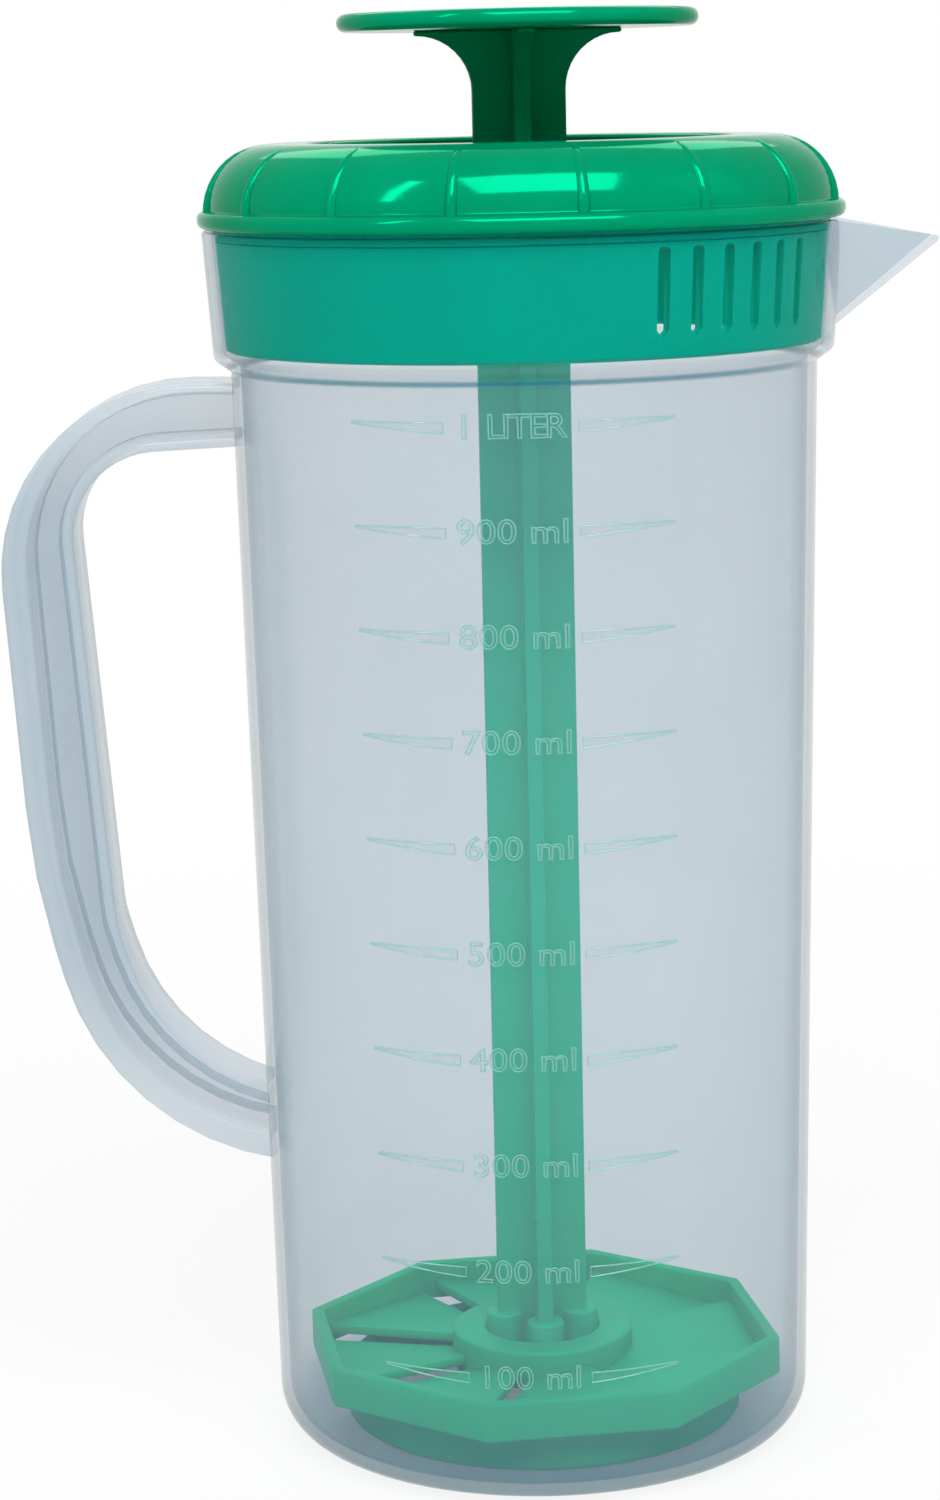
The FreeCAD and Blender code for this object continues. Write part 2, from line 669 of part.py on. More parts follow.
def make_guide_bush():
    body = new_body("guide_bush", turned=size("plunger_angle"))
    gap = size("running_gap")
    core = size("boss_bore_radius") - gap
    lip_top = boss_bottom - gap
    lip_bottom = lip_top - size("bush_lip_height")
    lead_in = size("bush_lip_height") / 2
    lip_radius = size("boss_bore_radius") + size("bush_lip_lap")
    head_radius = size("boss_bore_radius") + size("bush_head_lap")
    head_bottom = boss_top + gap
    head_top = head_bottom + size("bush_head_height")
    revolve(body, "bush_blank", [
        corner(0, lip_bottom),
        corner(core - lead_in, lip_bottom),
        corner(lip_radius, lip_top),
        corner(core, lip_top),
        corner(core, head_bottom),
        corner(head_radius, head_bottom),
        corner(head_radius, head_top, size("bush_head_height") / 2),
        corner(0, head_top)])
    wide = size("fin_half_width") + size("slide_gap")
    narrow = size("fin_thickness") / 2 + size("slide_gap")
    sketch = new_sketch(body, "cross_hole_outline", "XY_Plane")
    draw_outline(sketch, cross_corners(wide, narrow))
    pad(body, "cross_hole", sketch, knob_underside, "PartDesign::Pocket", flip=True)
    return body


def cross_corners(wide, narrow):
    """The twelve corners of a cross with arms of this half length and half width."""
    return [corner(*point) for point in (
        (wide, -narrow), (wide, narrow), (narrow, narrow), (narrow, wide),
        (-narrow, wide), (-narrow, narrow), (-wide, narrow), (-wide, -narrow),
        (-narrow, -narrow), (-narrow, -wide), (narrow, -wide), (narrow, -narrow))]


# Plunger

def make_plunger_shaft():
    """Two crossed fins that flare under the knob, with a lug under the end of each fin."""
    body = new_body("plunger_shaft", turned=size("plunger_angle"))
    fin = size("fin_half_width")
    flare = fin + size("flare_out")
    top = knob_underside
    arch = top - size("flare_edge")
    for plane in FIN_PLANES:
        name = f"fin_{plane[:2]}"
        sketch = new_sketch(body, name + "_outline", plane)
        draw_outline(sketch, [
            corner(-fin, foot_seat), corner(fin, foot_seat),
            corner(fin, arch, size("flare_round")),
            corner(flare, arch), corner(flare, top), corner(-flare, top), corner(-flare, arch),
            corner(-fin, arch, size("flare_round"))])
        pad(body, name, sketch, size("fin_thickness"), symmetric=True)
    sketch = new_sketch(body, "lug_outline", "XY_Plane", away=foot_seat)
    draw_circle(sketch, lug_reach, Size.of(0), size("lug_radius"))
    lug = pad(body, "lug", sketch, size("lug_height"))
    repeat(body, "lugs", [lug], Size.of(2 * len(FIN_PLANES)))
    return body


def make_push_knob():
    body = new_body("push_knob", turned=size("plunger_angle"))
    low = knob_underside
    high = low + size("knob_thickness")
    edge = high - size("knob_crown")
    rounding = (edge - low) * size("knob_round_share")
    revolve(body, "knob_disc", [
        corner(0, low),
        corner(size("knob_radius"), low, rounding),
        corner(size("knob_radius"), edge, rounding),
        corner(0, high)])
    return body


# Mixer

def octagon(sketch, radius):
    """Draws the rim's regular outline, first corner on the sketch's x axis."""
    sides = size("octagon_sides")
    spots = []
    for number in range(int(sides.value)):
        turn = Size(360 * number / sides.value, f"(360 * {number} / {sides.formula})")
        quarter = turn - 90
        spots.append(corner(radius * cosine(turn), radius * cosine(quarter)))
    draw_outline(sketch, spots)


def make_mixer_rim():
    body = new_body("mixer_rim", turned=size("octagon_angle"))
    outer = new_sketch(body, "rim_outline", "XY_Plane", away=mixer_bottom)
    octagon(outer, octagon_radius)
    pad(body, "rim_block", outer, size("rim_wall_height"))
    inner = new_sketch(body, "rim_hole_outline", "XY_Plane", away=mixer_bottom)
    octagon(inner, rim_corner_inside)
    pad(body, "rim_hole", inner, size("rim_wall_height"), "PartDesign::Pocket", flip=True)
    return body


def make_mixer_hub():
    body = new_body("mixer_hub", turned=size("plunger_angle"))
    low = mixer_bottom
    high = low + size("hub_height")
    revolve(body, "hub_cup", [
        corner(0, low),
        corner(hub_radius, low),
        corner(hub_radius, high, size("hub_round")),
        corner(hub_recess_radius, high),
        corner(hub_recess_radius, foot_seat),
        corner(0, foot_seat)])
    return body


def make_mixer_blades():
    """Pitched sectors from the hub to the rim, with a slit at each of the rim's corners."""
    body = new_body("mixer_blades", turned=size("octagon_angle"))
    low = mixer_bottom
    side_angle = half_side * 2
    slit = size("blade_slit")
    reach = rim_corner_inside * cosine(half_side) / cosine(half_side - slit / 2)
    start = hub_recess_radius
    sections = []
    for name, turn, lift in (("low", slit / 2, Size.of(0)),
                             ("high", side_angle - slit / 2, size("blade_rise"))):
        sketch = new_sketch(body, f"blade_{name}_edge", "XZ_Plane", turned=turn)
        bottom = low + lift
        top = bottom + size("blade_thickness")
        draw_outline(sketch, [corner(start, bottom), corner(reach, bottom),
                              corner(reach, top), corner(start, top)])
        sections.append(sketch)
    blade = body.newObject("PartDesign::AdditiveLoft", "blade")
    blade.Profile = sections[0]
    blade.Sections = sections[1:]
    blade.Ruled = True
    doc.recompute()
    repeat(body, "blades", [blade], size("octagon_sides"))
    sketch = new_sketch(body, "hub_clearance", "XY_Plane", away=low - spare)
    draw_circle(sketch, Size.of(0), Size.of(0), hub_radius)
    depth = size("blade_rise") + size("blade_thickness") + spare * 2
    pad(body, "hub_opening", sketch, depth, "PartDesign::Pocket", flip=True)
    return body


def make_lower_ring():
    body = new_body("lower_ring", turned=size("plunger_angle"))
    outside = octagon_radius - size("ring_inset")
    inside = outside - size("ring_wall")
    revolve(body, "ring_wall_section", [
        corner(inside, ring_bottom),
        corner(outside, ring_bottom, size("ring_wall") * size("ring_round_share")),
        corner(outside, mixer_bottom),
        corner(inside, mixer_bottom)])
    return body


# Output

def write_pieces(pieces):
    """Stops at the first fault, and otherwise writes each piece to a file of its own."""
    doc.recompute()
    for item in doc.Objects:
        faults = [word for word in ("Invalid", "Error") if word in item.State]
        if faults:
            raise RuntimeError(f"{item.Name}: {faults}")
    for piece in pieces:
        if piece.Shape.isNull() or not piece.Shape.isValid():
            raise RuntimeError(f"{piece.Label} has no valid shape")
    os.makedirs("parts", exist_ok=True)
    for piece in pieces:
        print(f"{piece.Label}: {len(piece.Shape.Solids)} solids, {piece.Shape.Volume:.0f} mm3")
        piece.Shape.exportStep(f"parts/{piece.Label}.step")


write_pieces([
    make_jug_body(),
    make_pour_spout(),
    make_jug_handle(),
    make_scale_marks(),
    make_lid_cap(),
    make_strainer_collar(),
    make_seal_ring(),
    make_guide_bush(),
    make_plunger_shaft(),
    make_push_knob(),
    make_mixer_rim(),
    make_mixer_hub(),
    make_mixer_blades(),
    make_lower_ring()])
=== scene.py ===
"""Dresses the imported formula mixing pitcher: jug, strainer lid and mixing plunger.

Sizes are written in millimetres and turned into metres where a mesh is made.
The spout points along +X, the handle along -X and the volume scale faces -Y.
"""
import logging
import math
from collections.abc import Callable, Sequence
from dataclasses import dataclass
from enum import Enum

import bmesh
import bpy
from mathutils import Matrix, Vector


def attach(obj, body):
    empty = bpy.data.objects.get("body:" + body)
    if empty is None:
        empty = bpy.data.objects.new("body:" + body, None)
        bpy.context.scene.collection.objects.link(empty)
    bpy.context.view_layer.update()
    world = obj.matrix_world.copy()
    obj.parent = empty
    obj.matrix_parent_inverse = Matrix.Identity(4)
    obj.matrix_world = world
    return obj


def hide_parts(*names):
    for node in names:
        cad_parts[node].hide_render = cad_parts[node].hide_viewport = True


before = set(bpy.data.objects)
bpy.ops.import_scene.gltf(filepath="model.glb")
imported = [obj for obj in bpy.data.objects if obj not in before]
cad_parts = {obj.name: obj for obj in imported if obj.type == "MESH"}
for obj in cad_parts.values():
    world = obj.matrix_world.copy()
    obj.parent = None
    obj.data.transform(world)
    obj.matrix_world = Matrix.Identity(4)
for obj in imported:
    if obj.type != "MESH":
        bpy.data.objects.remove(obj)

Socket = bpy.types.NodeSocket
Piece = bpy.types.Object
Material = bpy.types.Material
Spot = tuple[float, float]
Triple = tuple[float, float, float]
Outline = Sequence[tuple[float, ...]]

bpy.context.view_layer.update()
LOG = logging.getLogger("pitcher")
MM = 0.001
ARC_STEP = math.radians(9)
SHARP = math.radians(34)
WELD = 1e-6
SLIVER = 1e-7
WIDE_ROUND = 224
WHITE = (1.0, 1.0, 1.0, 1.0)
EDGE_SHINE = (0.02, 0.55, 0.45, 1.0)


class Body(str, Enum):
    """The bodies that dressed pieces ride on."""

    JUG = "jug"
    LID = "lid"
    MIXER = "mixer"


class Slot(str, Enum):
    """The record's material slots."""

    MILKY = "milky_plastic"
    LID = "lid_plastic"
    PLUNGER = "plunger_plastic"


class Depth(Enum):
    """The direction that an upright outline gets its depth in."""

    X = "x"
    Y = "y"


# Drawing and mesh helpers


def rounded(corners: Outline, closed: bool = True) -> list[Spot]:
    """Turns corners into points, with an arc at each corner that has a rounding.

    Args:
        corners: The outline's (x, y) or (x, y, rounding) in order, in millimetres.
        closed: False keeps the first and last corner as they are.

    Returns:
        Points of the outline in millimetres.
    """
    spots: list[Spot] = []
    count = len(corners)
    for i, (x, y, *rounding) in enumerate(corners):
        if not rounding or (not closed and i in (0, count - 1)):
            spots.append((x, y))
            continue
        point = Vector((x, y))
        back = (Vector(corners[i - 1][:2]) - point).normalized()
        ahead = (Vector(corners[(i + 1) % count][:2]) - point).normalized()
        half = back.angle(ahead) / 2
        centre = point + (back + ahead).normalized() * (rounding[0] / math.sin(half))
        spoke = point + back * (rounding[0] / math.tan(half)) - centre
        side = 1.0 if back.x * ahead.y - back.y * ahead.x < 0 else -1.0
        turn = side * (math.pi - 2 * half)
        steps = max(2, math.ceil(abs(turn) / ARC_STEP))
        for step in range(steps + 1):
            c, s = math.cos(turn * step / steps), math.sin(turn * step / steps)
            spots.append((centre.x + spoke.x * c - spoke.y * s,
                          centre.y + spoke.x * s + spoke.y * c))
    return spots


def stand(name: str, data: bpy.types.ID) -> Piece:
    """Makes an object of some data and links it to the scene.

    Args:
        name: The object's name.
        data: Its mesh, curve, lamp or camera.

    Returns:
        The linked object, at the origin.
    """
    piece = bpy.data.objects.new(name, data)
    bpy.context.scene.collection.objects.link(piece)
    return piece


def new_piece(name: str, vertices: Sequence[Sequence[float]],
              edges: Sequence[Sequence[int]] = (),
              faces: Sequence[Sequence[int]] = ()) -> Piece:
    """Makes a mesh object from millimetre vertices.

    Args:
        name: The piece's name.
        vertices: Places in millimetres.
        edges: Pairs of vertex numbers.
        faces: Rings of vertex numbers.

    Returns:
        The linked object, at the origin.
    """
    mesh = bpy.data.meshes.new(name)
    mesh.from_pydata([Vector(v) * MM for v in vertices], list(edges), list(faces))
    return stand(name, mesh)


def tidy(mesh: bpy.types.Mesh, sharp: float = SHARP) -> None:
    """Welds a mesh, turns its faces outwards and shades it smooth between sharp edges.

    Args:
        mesh: The mesh, changed in place.
        sharp: Edges that turn by more than this stay sharp.
    """
    work = bmesh.new()
    work.from_mesh(mesh)
    bmesh.ops.remove_doubles(work, verts=work.verts, dist=WELD)
    bmesh.ops.dissolve_degenerate(work, dist=SLIVER, edges=work.edges)
    wires = [edge for edge in work.edges if not edge.link_faces]
    bmesh.ops.delete(work, geom=wires, context="EDGES")
    bmesh.ops.delete(work, geom=[v for v in work.verts if not v.link_faces], context="VERTS")
    bmesh.ops.recalc_face_normals(work, faces=work.faces)
    for face in work.faces:
        face.smooth = True
    for edge in work.edges:
        edge.smooth = len(edge.link_faces) != 2 or edge.calc_face_angle(0.0) < sharp
    work.to_mesh(mesh)
    work.free()


def settle(piece: Piece, sharp: float = SHARP) -> Piece:
    """Turns a piece's live modifiers, or its text, into one plain tidy mesh.

    Args:
        piece: A mesh or text object.
        sharp: Edges that turn by more than this stay sharp.

    Returns:
        The mesh object that now holds the shape.
    """
    bpy.context.view_layer.update()
    graph = bpy.context.evaluated_depsgraph_get()
    mesh = bpy.data.meshes.new_from_object(piece.evaluated_get(graph), depsgraph=graph)
    tidy(mesh, sharp)
    if piece.type == "MESH":
        piece.modifiers.clear()
        piece.data = mesh
        return piece
    name = piece.name
    bpy.data.objects.remove(piece)
    return stand(name, mesh)


def soften(piece: Piece, width: float, segments: int, angle: float) -> Piece:
    """Rounds a piece's edges.

    Args:
        piece: The piece.
        width: The rounding's width in millimetres.
        segments: The number of flats in it.
        angle: Edges that turn by more than this are rounded, in degrees.

    Returns:
        The piece.
    """
    bevel = piece.modifiers.new("soften", "BEVEL")
    bevel.width = width * MM
    bevel.segments = segments
    bevel.limit_method = "ANGLE"
    bevel.angle_limit = math.radians(angle)
    bevel.harden_normals = False
    return settle(piece)


def carve(piece: Piece, tool: Piece, kind: str = "DIFFERENCE") -> Piece:
    """Cuts a piece with a tool mesh, or joins the two.

    Args:
        piece: The piece.
        tool: The mesh that cuts, which is then gone.
        kind: The Boolean modifier's operation.

    Returns:
        The piece.
    """
    cut = piece.modifiers.new("carve", "BOOLEAN")
    cut.operation = kind
    cut.solver = "EXACT"
    cut.object = tool
    settle(piece)
    bpy.data.objects.remove(tool)
    return piece


def loft(name: str, rings: Sequence[Sequence[Triple]], matched: bool = False) -> Piece:
    """Spans rings of places, each with the same count, into a closed solid.

    Args:
        name: The piece's name.
        rings: The rings in order along the solid.
        matched: True folds the ring's second half the same way as its first, so that the
            two sides of a thin warped piece stay parallel.

    Returns:
        The tidy solid.
    """
    count = len(rings[0])
    last = count * (len(rings) - 1)
    faces = []
    for low in range(0, last, count):
        for i in range(count):
            j = (i + 1) % count
            face = (low + i, low + j, low + count + j, low + count + i)
            faces.append(face[1:] + face[:1] if matched and 2 * i >= count else face)
    faces += [tuple(range(count))[::-1], tuple(range(last, last + count))]
    piece = new_piece(name, [place for ring in rings for place in ring], faces=faces)
    tidy(piece.data)
    return piece


def prism(name: str, corners: Outline, low: float, high: float, depth: Depth) -> Piece:
    """Draws an upright outline out between two depths.

    Args:
        name: The piece's name.
        corners: The closed outline of (sideways, height, rounding).
        low: The first depth.
        high: The second depth.
        depth: The direction of the depth.

    Returns:
        A closed prism.
    """
    spots = rounded(corners)
    return loft(name, [[(far, x, z) if depth is Depth.X else (x, far, z) for x, z in spots]
                       for far in (low, high)])


def turn_about_axis(piece: Piece, degrees: float) -> Piece:
    """Turns a piece's mesh about the pitcher's axis."""
    piece.data.transform(Matrix.Rotation(math.radians(degrees), 4, "Z"))
    return piece


def join(name: str, parts: Sequence[Piece]) -> Piece:
    """Joins meshes into one piece, each shell as it is.

    Args:
        name: The piece's name.
        parts: The mesh objects, which are then gone.

    Returns:
        The joined piece.
    """
    work = bmesh.new()
    for part in parts:
        work.from_mesh(part.data)
        bpy.data.objects.remove(part)
    mesh = bpy.data.meshes.new(name)
    work.to_mesh(mesh)
    work.free()
    return stand(name, mesh)


def place(piece: Piece, body: Body, slot: Slot, finish: Material, *nodes: str) -> None:
    """Puts a finished piece on its body, in place of CAD nodes.

    Args:
        piece: The finished mesh.
        body: The body that it rides on.
        slot: The record's slot for its finish; not used.
        finish: Its material.
        nodes: The CAD nodes that it stands for.
    """
    piece.data.materials.clear()
    piece.data.materials.append(finish)
    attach(piece, body.value)
    if nodes:
        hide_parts(*nodes)
    LOG.info("%s: %d faces on %s", piece.name, len(piece.data.polygons), body.value)


class Graph:
    """A node tree that is built call by call."""

    family = "ShaderNode"

    def __init__(self, tree: bpy.types.NodeTree) -> None:
        """Keeps the tree that calls add to."""
        self.tree = tree

    def node(self, kind: str, inputs: dict | None = None, **settings: object) -> bpy.types.Node:
        """Adds a node.

        Args:
            kind: The node's type, where one of the graph's own family needs no prefix.
            inputs: Values or sockets by input name or number.
            settings: Properties of the node.

        Returns:
            The node.
        """
        made = self.tree.nodes.new(kind if "Node" in kind else self.family + kind)
        for name, value in settings.items():
            setattr(made, name, value)
        for name, value in (inputs or {}).items():
            if isinstance(value, Socket):
                self.tree.links.new(value, made.inputs[name])
            else:
                made.inputs[name].default_value = value
        return made

    def out(self, kind: str, inputs: dict | None = None, **settings: object) -> Socket:
        """Adds a node and returns the first of its outputs that is in use."""
        return next(each for each in self.node(kind, inputs, **settings).outputs if each.enabled)

    def sum(self, operation: str, a: object, b: object = 0.0) -> Socket:
        """Adds a Math node of two terms and returns its result."""
        return self.out("ShaderNodeMath", {0: a, 1: b}, operation=operation)

    def spread(self, value: Socket, low: object, high: object, start: object = 0.0,
               end: object = 1.0) -> Socket:
        """Maps a value from low..high to start..end, held inside that range."""
        return self.out("ShaderNodeMapRange", {
            "Value": value, "From Min": low, "From Max": high, "To Min": start, "To Max": end})


# Geometry node trees


class ShapeTree(Graph):
    """A geometry node tree with named inputs, and a finish set at its end."""

    family = "GeometryNode"

    def __init__(self, name: str, **sizes: str) -> None:
        """Makes the tree with a Geometry input, these sizes and a Finish.

        Args:
            name: The tree's name.
            sizes: Socket type by input name, with _ for a space in the name.
        """
        super().__init__(bpy.data.node_groups.new(name, "GeometryNodeTree"))
        face = self.tree.interface
        for title, kind in {"Geometry": "Geometry", **sizes, "Finish": "Material"}.items():
            face.new_socket(title.replace("_", " "), in_out="INPUT",
                            socket_type=f"NodeSocket{kind}")
        face.new_socket("Geometry", in_out="OUTPUT", socket_type="NodeSocketGeometry")
        self.given = self.tree.nodes.new("NodeGroupInput").outputs

    def finish(self, shape: Socket) -> "ShapeTree":
        """Ends the tree with Realize Instances and Set Material.

        Args:
            shape: The finished shape.

        Returns:
            The tree.
        """
        real = self.out("RealizeInstances", {"Geometry": shape})
        dressed = self.out("SetMaterial", {"Geometry": real, "Material": self.given["Finish"]})
        self.node("NodeGroupOutput", {0: dressed})
        return self

    def turned(self, shape: Socket) -> Socket:
        """Repeats a shape round the axis, Count times from Start by Step, in degrees.

        Args:
            shape: The shape.

        Returns:
            The instances.
        """
        points = self.out("Points", {"Count": self.given["Count"]})
        along = self.sum("MULTIPLY", self.out("InputIndex"), self.given["Step"])
        degrees = self.sum("ADD", self.given["Start"], along)
        turn = self.out("ShaderNodeCombineXYZ", {"Z": self.sum("RADIANS", degrees)})
        return self.out("InstanceOnPoints", {
            "Points": points, "Instance": shape, "Rotation": turn})


def lathe_tree() -> ShapeTree:
    """Builds the tree that turns a profile, whose x is the radius, round the axis.

    Returns:
        The tree.
    """
    tree = ShapeTree("lathe", Segments="Int", Closed="Bool")
    given = tree.given
    size = tree.out("AttributeDomainSize", {"Geometry": given["Geometry"]}, component="MESH")
    rows = tree.sum("ADD", size, given["Closed"])
    columns = tree.sum("ADD", given["Segments"], 1.0)
    grid = tree.out("MeshGrid", {
        "Size X": 1.0, "Size Y": 1.0, "Vertices X": columns, "Vertices Y": rows})
    number = tree.out("InputIndex")
    column = tree.sum("FLOOR", tree.sum("DIVIDE", tree.sum("ADD", number, 0.5), rows))
    row = tree.sum("SUBTRACT", number, tree.sum("MULTIPLY", column, rows))
    found = tree.out("SampleIndex", {
        "Geometry": given["Geometry"], "Value": tree.out("InputPosition"),
        "Index": tree.sum("FLOORED_MODULO", row, size)}, data_type="FLOAT_VECTOR", domain="POINT")
    parts = tree.node("ShaderNodeSeparateXYZ", {0: found}).outputs
    angle = tree.sum("MULTIPLY", tree.sum("DIVIDE", column, given["Segments"]), 2 * math.pi)
    spot = tree.out("ShaderNodeCombineXYZ", {
        "X": tree.sum("MULTIPLY", parts["X"], tree.sum("COSINE", angle)),
        "Y": tree.sum("MULTIPLY", parts["X"], tree.sum("SINE", angle)), "Z": parts["Z"]})
    shape = tree.out("SetPosition", {"Geometry": grid, "Position": spot})
    return tree.finish(tree.out("MergeByDistance", {"Geometry": shape, "Distance": WELD}))


def rib_tree() -> ShapeTree:
    """Builds the tree that runs a half round rib along a path and repeats it round the axis.

    Returns:
        The tree.
    """
    taper_start = 0.55
    tree = ShapeTree("ribs", Count="Int", Start="Float", Step="Float", Half_width="Float",
                     Tip_share="Float")
    given = tree.given
    path = tree.out("MeshToCurve", {"Mesh": given["Geometry"]})
    swell = tree.out("ShaderNodeMapRange", {
        "Value": tree.out("SplineParameter"), "From Min": taper_start, "From Max": 1.0,
        "To Min": 1.0, "To Max": given["Tip share"]}, interpolation_type="SMOOTHSTEP")
    sized = tree.out("SetCurveRadius", {
        "Curve": path, "Radius": tree.sum("MULTIPLY", swell, given["Half width"])})
    ring = tree.out("CurvePrimitiveCircle", {"Resolution": 14, "Radius": 1.0})
    sweep = tree.node("CurveToMesh", {"Curve": sized, "Profile Curve": ring, "Fill Caps": True})
    for socket in sweep.inputs:
        if socket.name == "Scale":
            tree.tree.links.new(tree.out("InputRadius"), socket)
    return tree.finish(tree.turned(sweep.outputs[0]))


def ring_tree() -> ShapeTree:
    """Builds the tree that repeats a shape round the axis."""
    tree = ShapeTree("ring_of", Count="Int", Start="Float", Step="Float")
    return tree.finish(tree.turned(tree.given["Geometry"]))


def slot_tree() -> ShapeTree:
    """Builds the tree that cuts a row of slots, whose cutter it is given, out of a wall.

    Returns:
        The tree.
    """
    tree = ShapeTree("slots", Cutter="Object", Count="Int", Start="Float", Step="Float")
    cutter = tree.node("ObjectInfo", {"Object": tree.given["Cutter"]}).outputs["Geometry"]
    cutters = tree.out("RealizeInstances", {0: tree.turned(cutter)})
    return tree.finish(tree.out("MeshBoolean", {
        "Mesh 1": tree.given["Geometry"], "Mesh 2": cutters},
        operation="DIFFERENCE", solver="EXACT"))


def scale_tree() -> ShapeTree:
    """Builds the tree that lays pairs of marks on a cone, one pair to each level.

    The mark that it is given lies in the XZ plane, as metres along the cone's foot and
    up, with its depth in Y. Each level is closer to the one below it by the pitch loss.
    An outline gets a line radius, and becomes a tube.

    Returns:
        The tree.
    """
    tree = ShapeTree("scale_marks", Count="Int", First="Float", Pitch="Float",
                     Pitch_loss="Float", Cone_foot="Float", Cone_slope="Float",
                     Line_radius="Float")
    given = tree.given

    def keep(shape: object, name: str, value: object, kind: str = "FLOAT") -> Socket:
        """Stores a value at each point of a shape."""
        return tree.out("StoreNamedAttribute", {"Geometry": shape, "Name": name, "Value": value},
                        data_type=kind, domain="POINT")

    def read(name: str, kind: str = "FLOAT") -> Socket:
        """Reads a stored value."""
        return tree.out("InputNamedAttribute", {"Name": name}, data_type=kind)

    mark = keep(given["Geometry"], "own", tree.out("InputPosition"), "FLOAT_VECTOR")
    number = tree.out("InputIndex")
    levels = tree.out("Points", {"Count": tree.sum("MULTIPLY", given["Count"], 2.0)})
    levels = keep(levels, "level", tree.sum("FLOOR", tree.sum("MULTIPLY", number, 0.5)))
    side = tree.sum("MULTIPLY", tree.sum("FLOORED_MODULO", number, 2.0), 2.0)
    levels = keep(levels, "hand", tree.sum("SUBTRACT", side, 1.0))
    marks = tree.out("InstanceOnPoints", {"Points": levels, "Instance": mark})
    real = tree.out("RealizeInstances", {0: marks})
    parts = tree.node("ShaderNodeSeparateXYZ", {0: read("own", "FLOAT_VECTOR")}).outputs
    level = read("level")
    pairs = tree.sum("MULTIPLY", tree.sum("MULTIPLY", level, 0.5),
                     tree.sum("SUBTRACT", level, 1.0))
    climb = tree.sum("SUBTRACT", tree.sum("MULTIPLY", level, given["Pitch"]),
                     tree.sum("MULTIPLY", pairs, given["Pitch loss"]))
    height = tree.sum("ADD", tree.sum("ADD", given["First"], climb), parts["Z"])
    skin = tree.sum("ADD", given["Cone foot"], tree.sum("MULTIPLY", height, given["Cone slope"]))
    angle = tree.sum("MULTIPLY", tree.sum("DIVIDE", parts["X"], given["Cone foot"]),
                     read("hand"))
    radius = tree.sum("SUBTRACT", skin, parts["Y"])
    front = tree.sum("MULTIPLY", tree.sum("COSINE", angle), -1.0)
    spot = tree.out("ShaderNodeCombineXYZ", {
        "X": tree.sum("MULTIPLY", radius, tree.sum("SINE", angle)),
        "Y": tree.sum("MULTIPLY", radius, front), "Z": height})
    laid = tree.out("SetPosition", {"Geometry": real, "Position": spot})
    line = tree.out("MeshToCurve", {"Mesh": laid})
    ring = tree.out("CurvePrimitiveCircle", {"Resolution": 6, "Radius": given["Line radius"]})
    tube = tree.out("CurveToMesh", {"Curve": line, "Profile Curve": ring})
    is_line = tree.out("FunctionNodeCompare", {"A": given["Line radius"], "B": 0.0},
                       data_type="FLOAT", operation="GREATER_THAN")
    return tree.finish(tree.out("Switch", {"Switch": is_line, "False": laid, "True": tube},
                                input_type="GEOMETRY"))


TREES: dict[str, ShapeTree] = {}


def grow(piece: Piece, maker: Callable[[], ShapeTree], finish: Material,
         **sizes: object) -> Piece:
    """Runs a geometry node tree on a piece and keeps the plain mesh that it gives.

    Args:
        piece: The piece that holds the tree's starting shape.
        maker: The function that builds the tree, run once.
        finish: The material that the tree sets.
        sizes: All of the tree's sizes, with _ for a space in their names.

    Returns:
        The piece, with no modifier left.
    """
    name = maker.__name__
    if name not in TREES:
        TREES[name] = maker()
    live = piece.modifiers.new(name, "NODES")
    live.node_group = TREES[name].tree
    wanted = {key.replace("_", " "): value for key, value in sizes.items()}
    wanted["Finish"] = finish
    for item in TREES[name].tree.interface.items_tree:
        if item.in_out == "INPUT" and item.name != "Geometry":
            live[item.identifier] = wanted[item.name]
    return settle(piece)


def lathe(name: str, corners: Outline, finish: Material, segments: int = WIDE_ROUND,
          closed: bool = True) -> Piece:
    """Turns an outline once round the axis.

    Args:
        name: The piece's name.
        corners: The outline's (radius, height) or (radius, height, rounding).
        finish: The material.
        segments: The number of flats round the axis.
        closed: False for an outline that starts and ends on the axis.

    Returns:
        The turned piece.
    """
    return grow(path_piece(name, rounded(corners, closed)), lathe_tree, finish,
                Segments=segments, Closed=closed)


def path_piece(name: str, spots: Sequence[Spot]) -> Piece:
    """Makes an upright open path of (radius, height) points, as a piece of edges only."""
    return new_piece(name, [(x, 0, z) for x, z in spots],
                     [(i, i + 1) for i in range(len(spots) - 1)])


# Finishes


def blank_material(name: str) -> tuple[Material, Graph]:
    """Makes a material with an empty node tree.

    Args:
        name: The material's name.

    Returns:
        The material and its graph.
    """
    material = bpy.data.materials.new(name)
    material.use_nodes = True
    material.node_tree.nodes.clear()
    return material, Graph(material.node_tree)


def surface_marks(graph: Graph, pebble: float) -> tuple[Socket, Socket, Socket]:
    """Adds the marks that any moulded plastic has.

    Args:
        graph: The material's graph.
        pebble: The size of the surface's faint waviness, as waves in each metre.

    Returns:
        The place on the piece, a cloudy value from 0 to 1, and the bumped normal.
    """
    spot = graph.node("TexCoord").outputs["Object"]
    cloud = graph.out("TexNoise", {"Vector": spot, "Scale": 42.0, "Detail": 4.0,
                                   "Roughness": 0.6})
    wave = graph.out("TexNoise", {"Vector": spot, "Scale": pebble, "Detail": 2.0,
                                  "Roughness": 0.5})
    along = graph.out("Mapping", {
        "Vector": spot, "Scale": (900.0, 900.0, 60.0), "Rotation": (0.4, 0.2, 0.5)})
    scratch = graph.out("TexNoise", {"Vector": along, "Scale": 1.0, "Detail": 1.0})
    rough = graph.sum("ADD", wave, graph.spread(scratch, 0.70, 0.78, 0.0, 0.2))
    normal = graph.out("Bump", {"Height": rough, "Strength": 0.3, "Distance": 0.12 * MM})
    return spot, cloud, normal


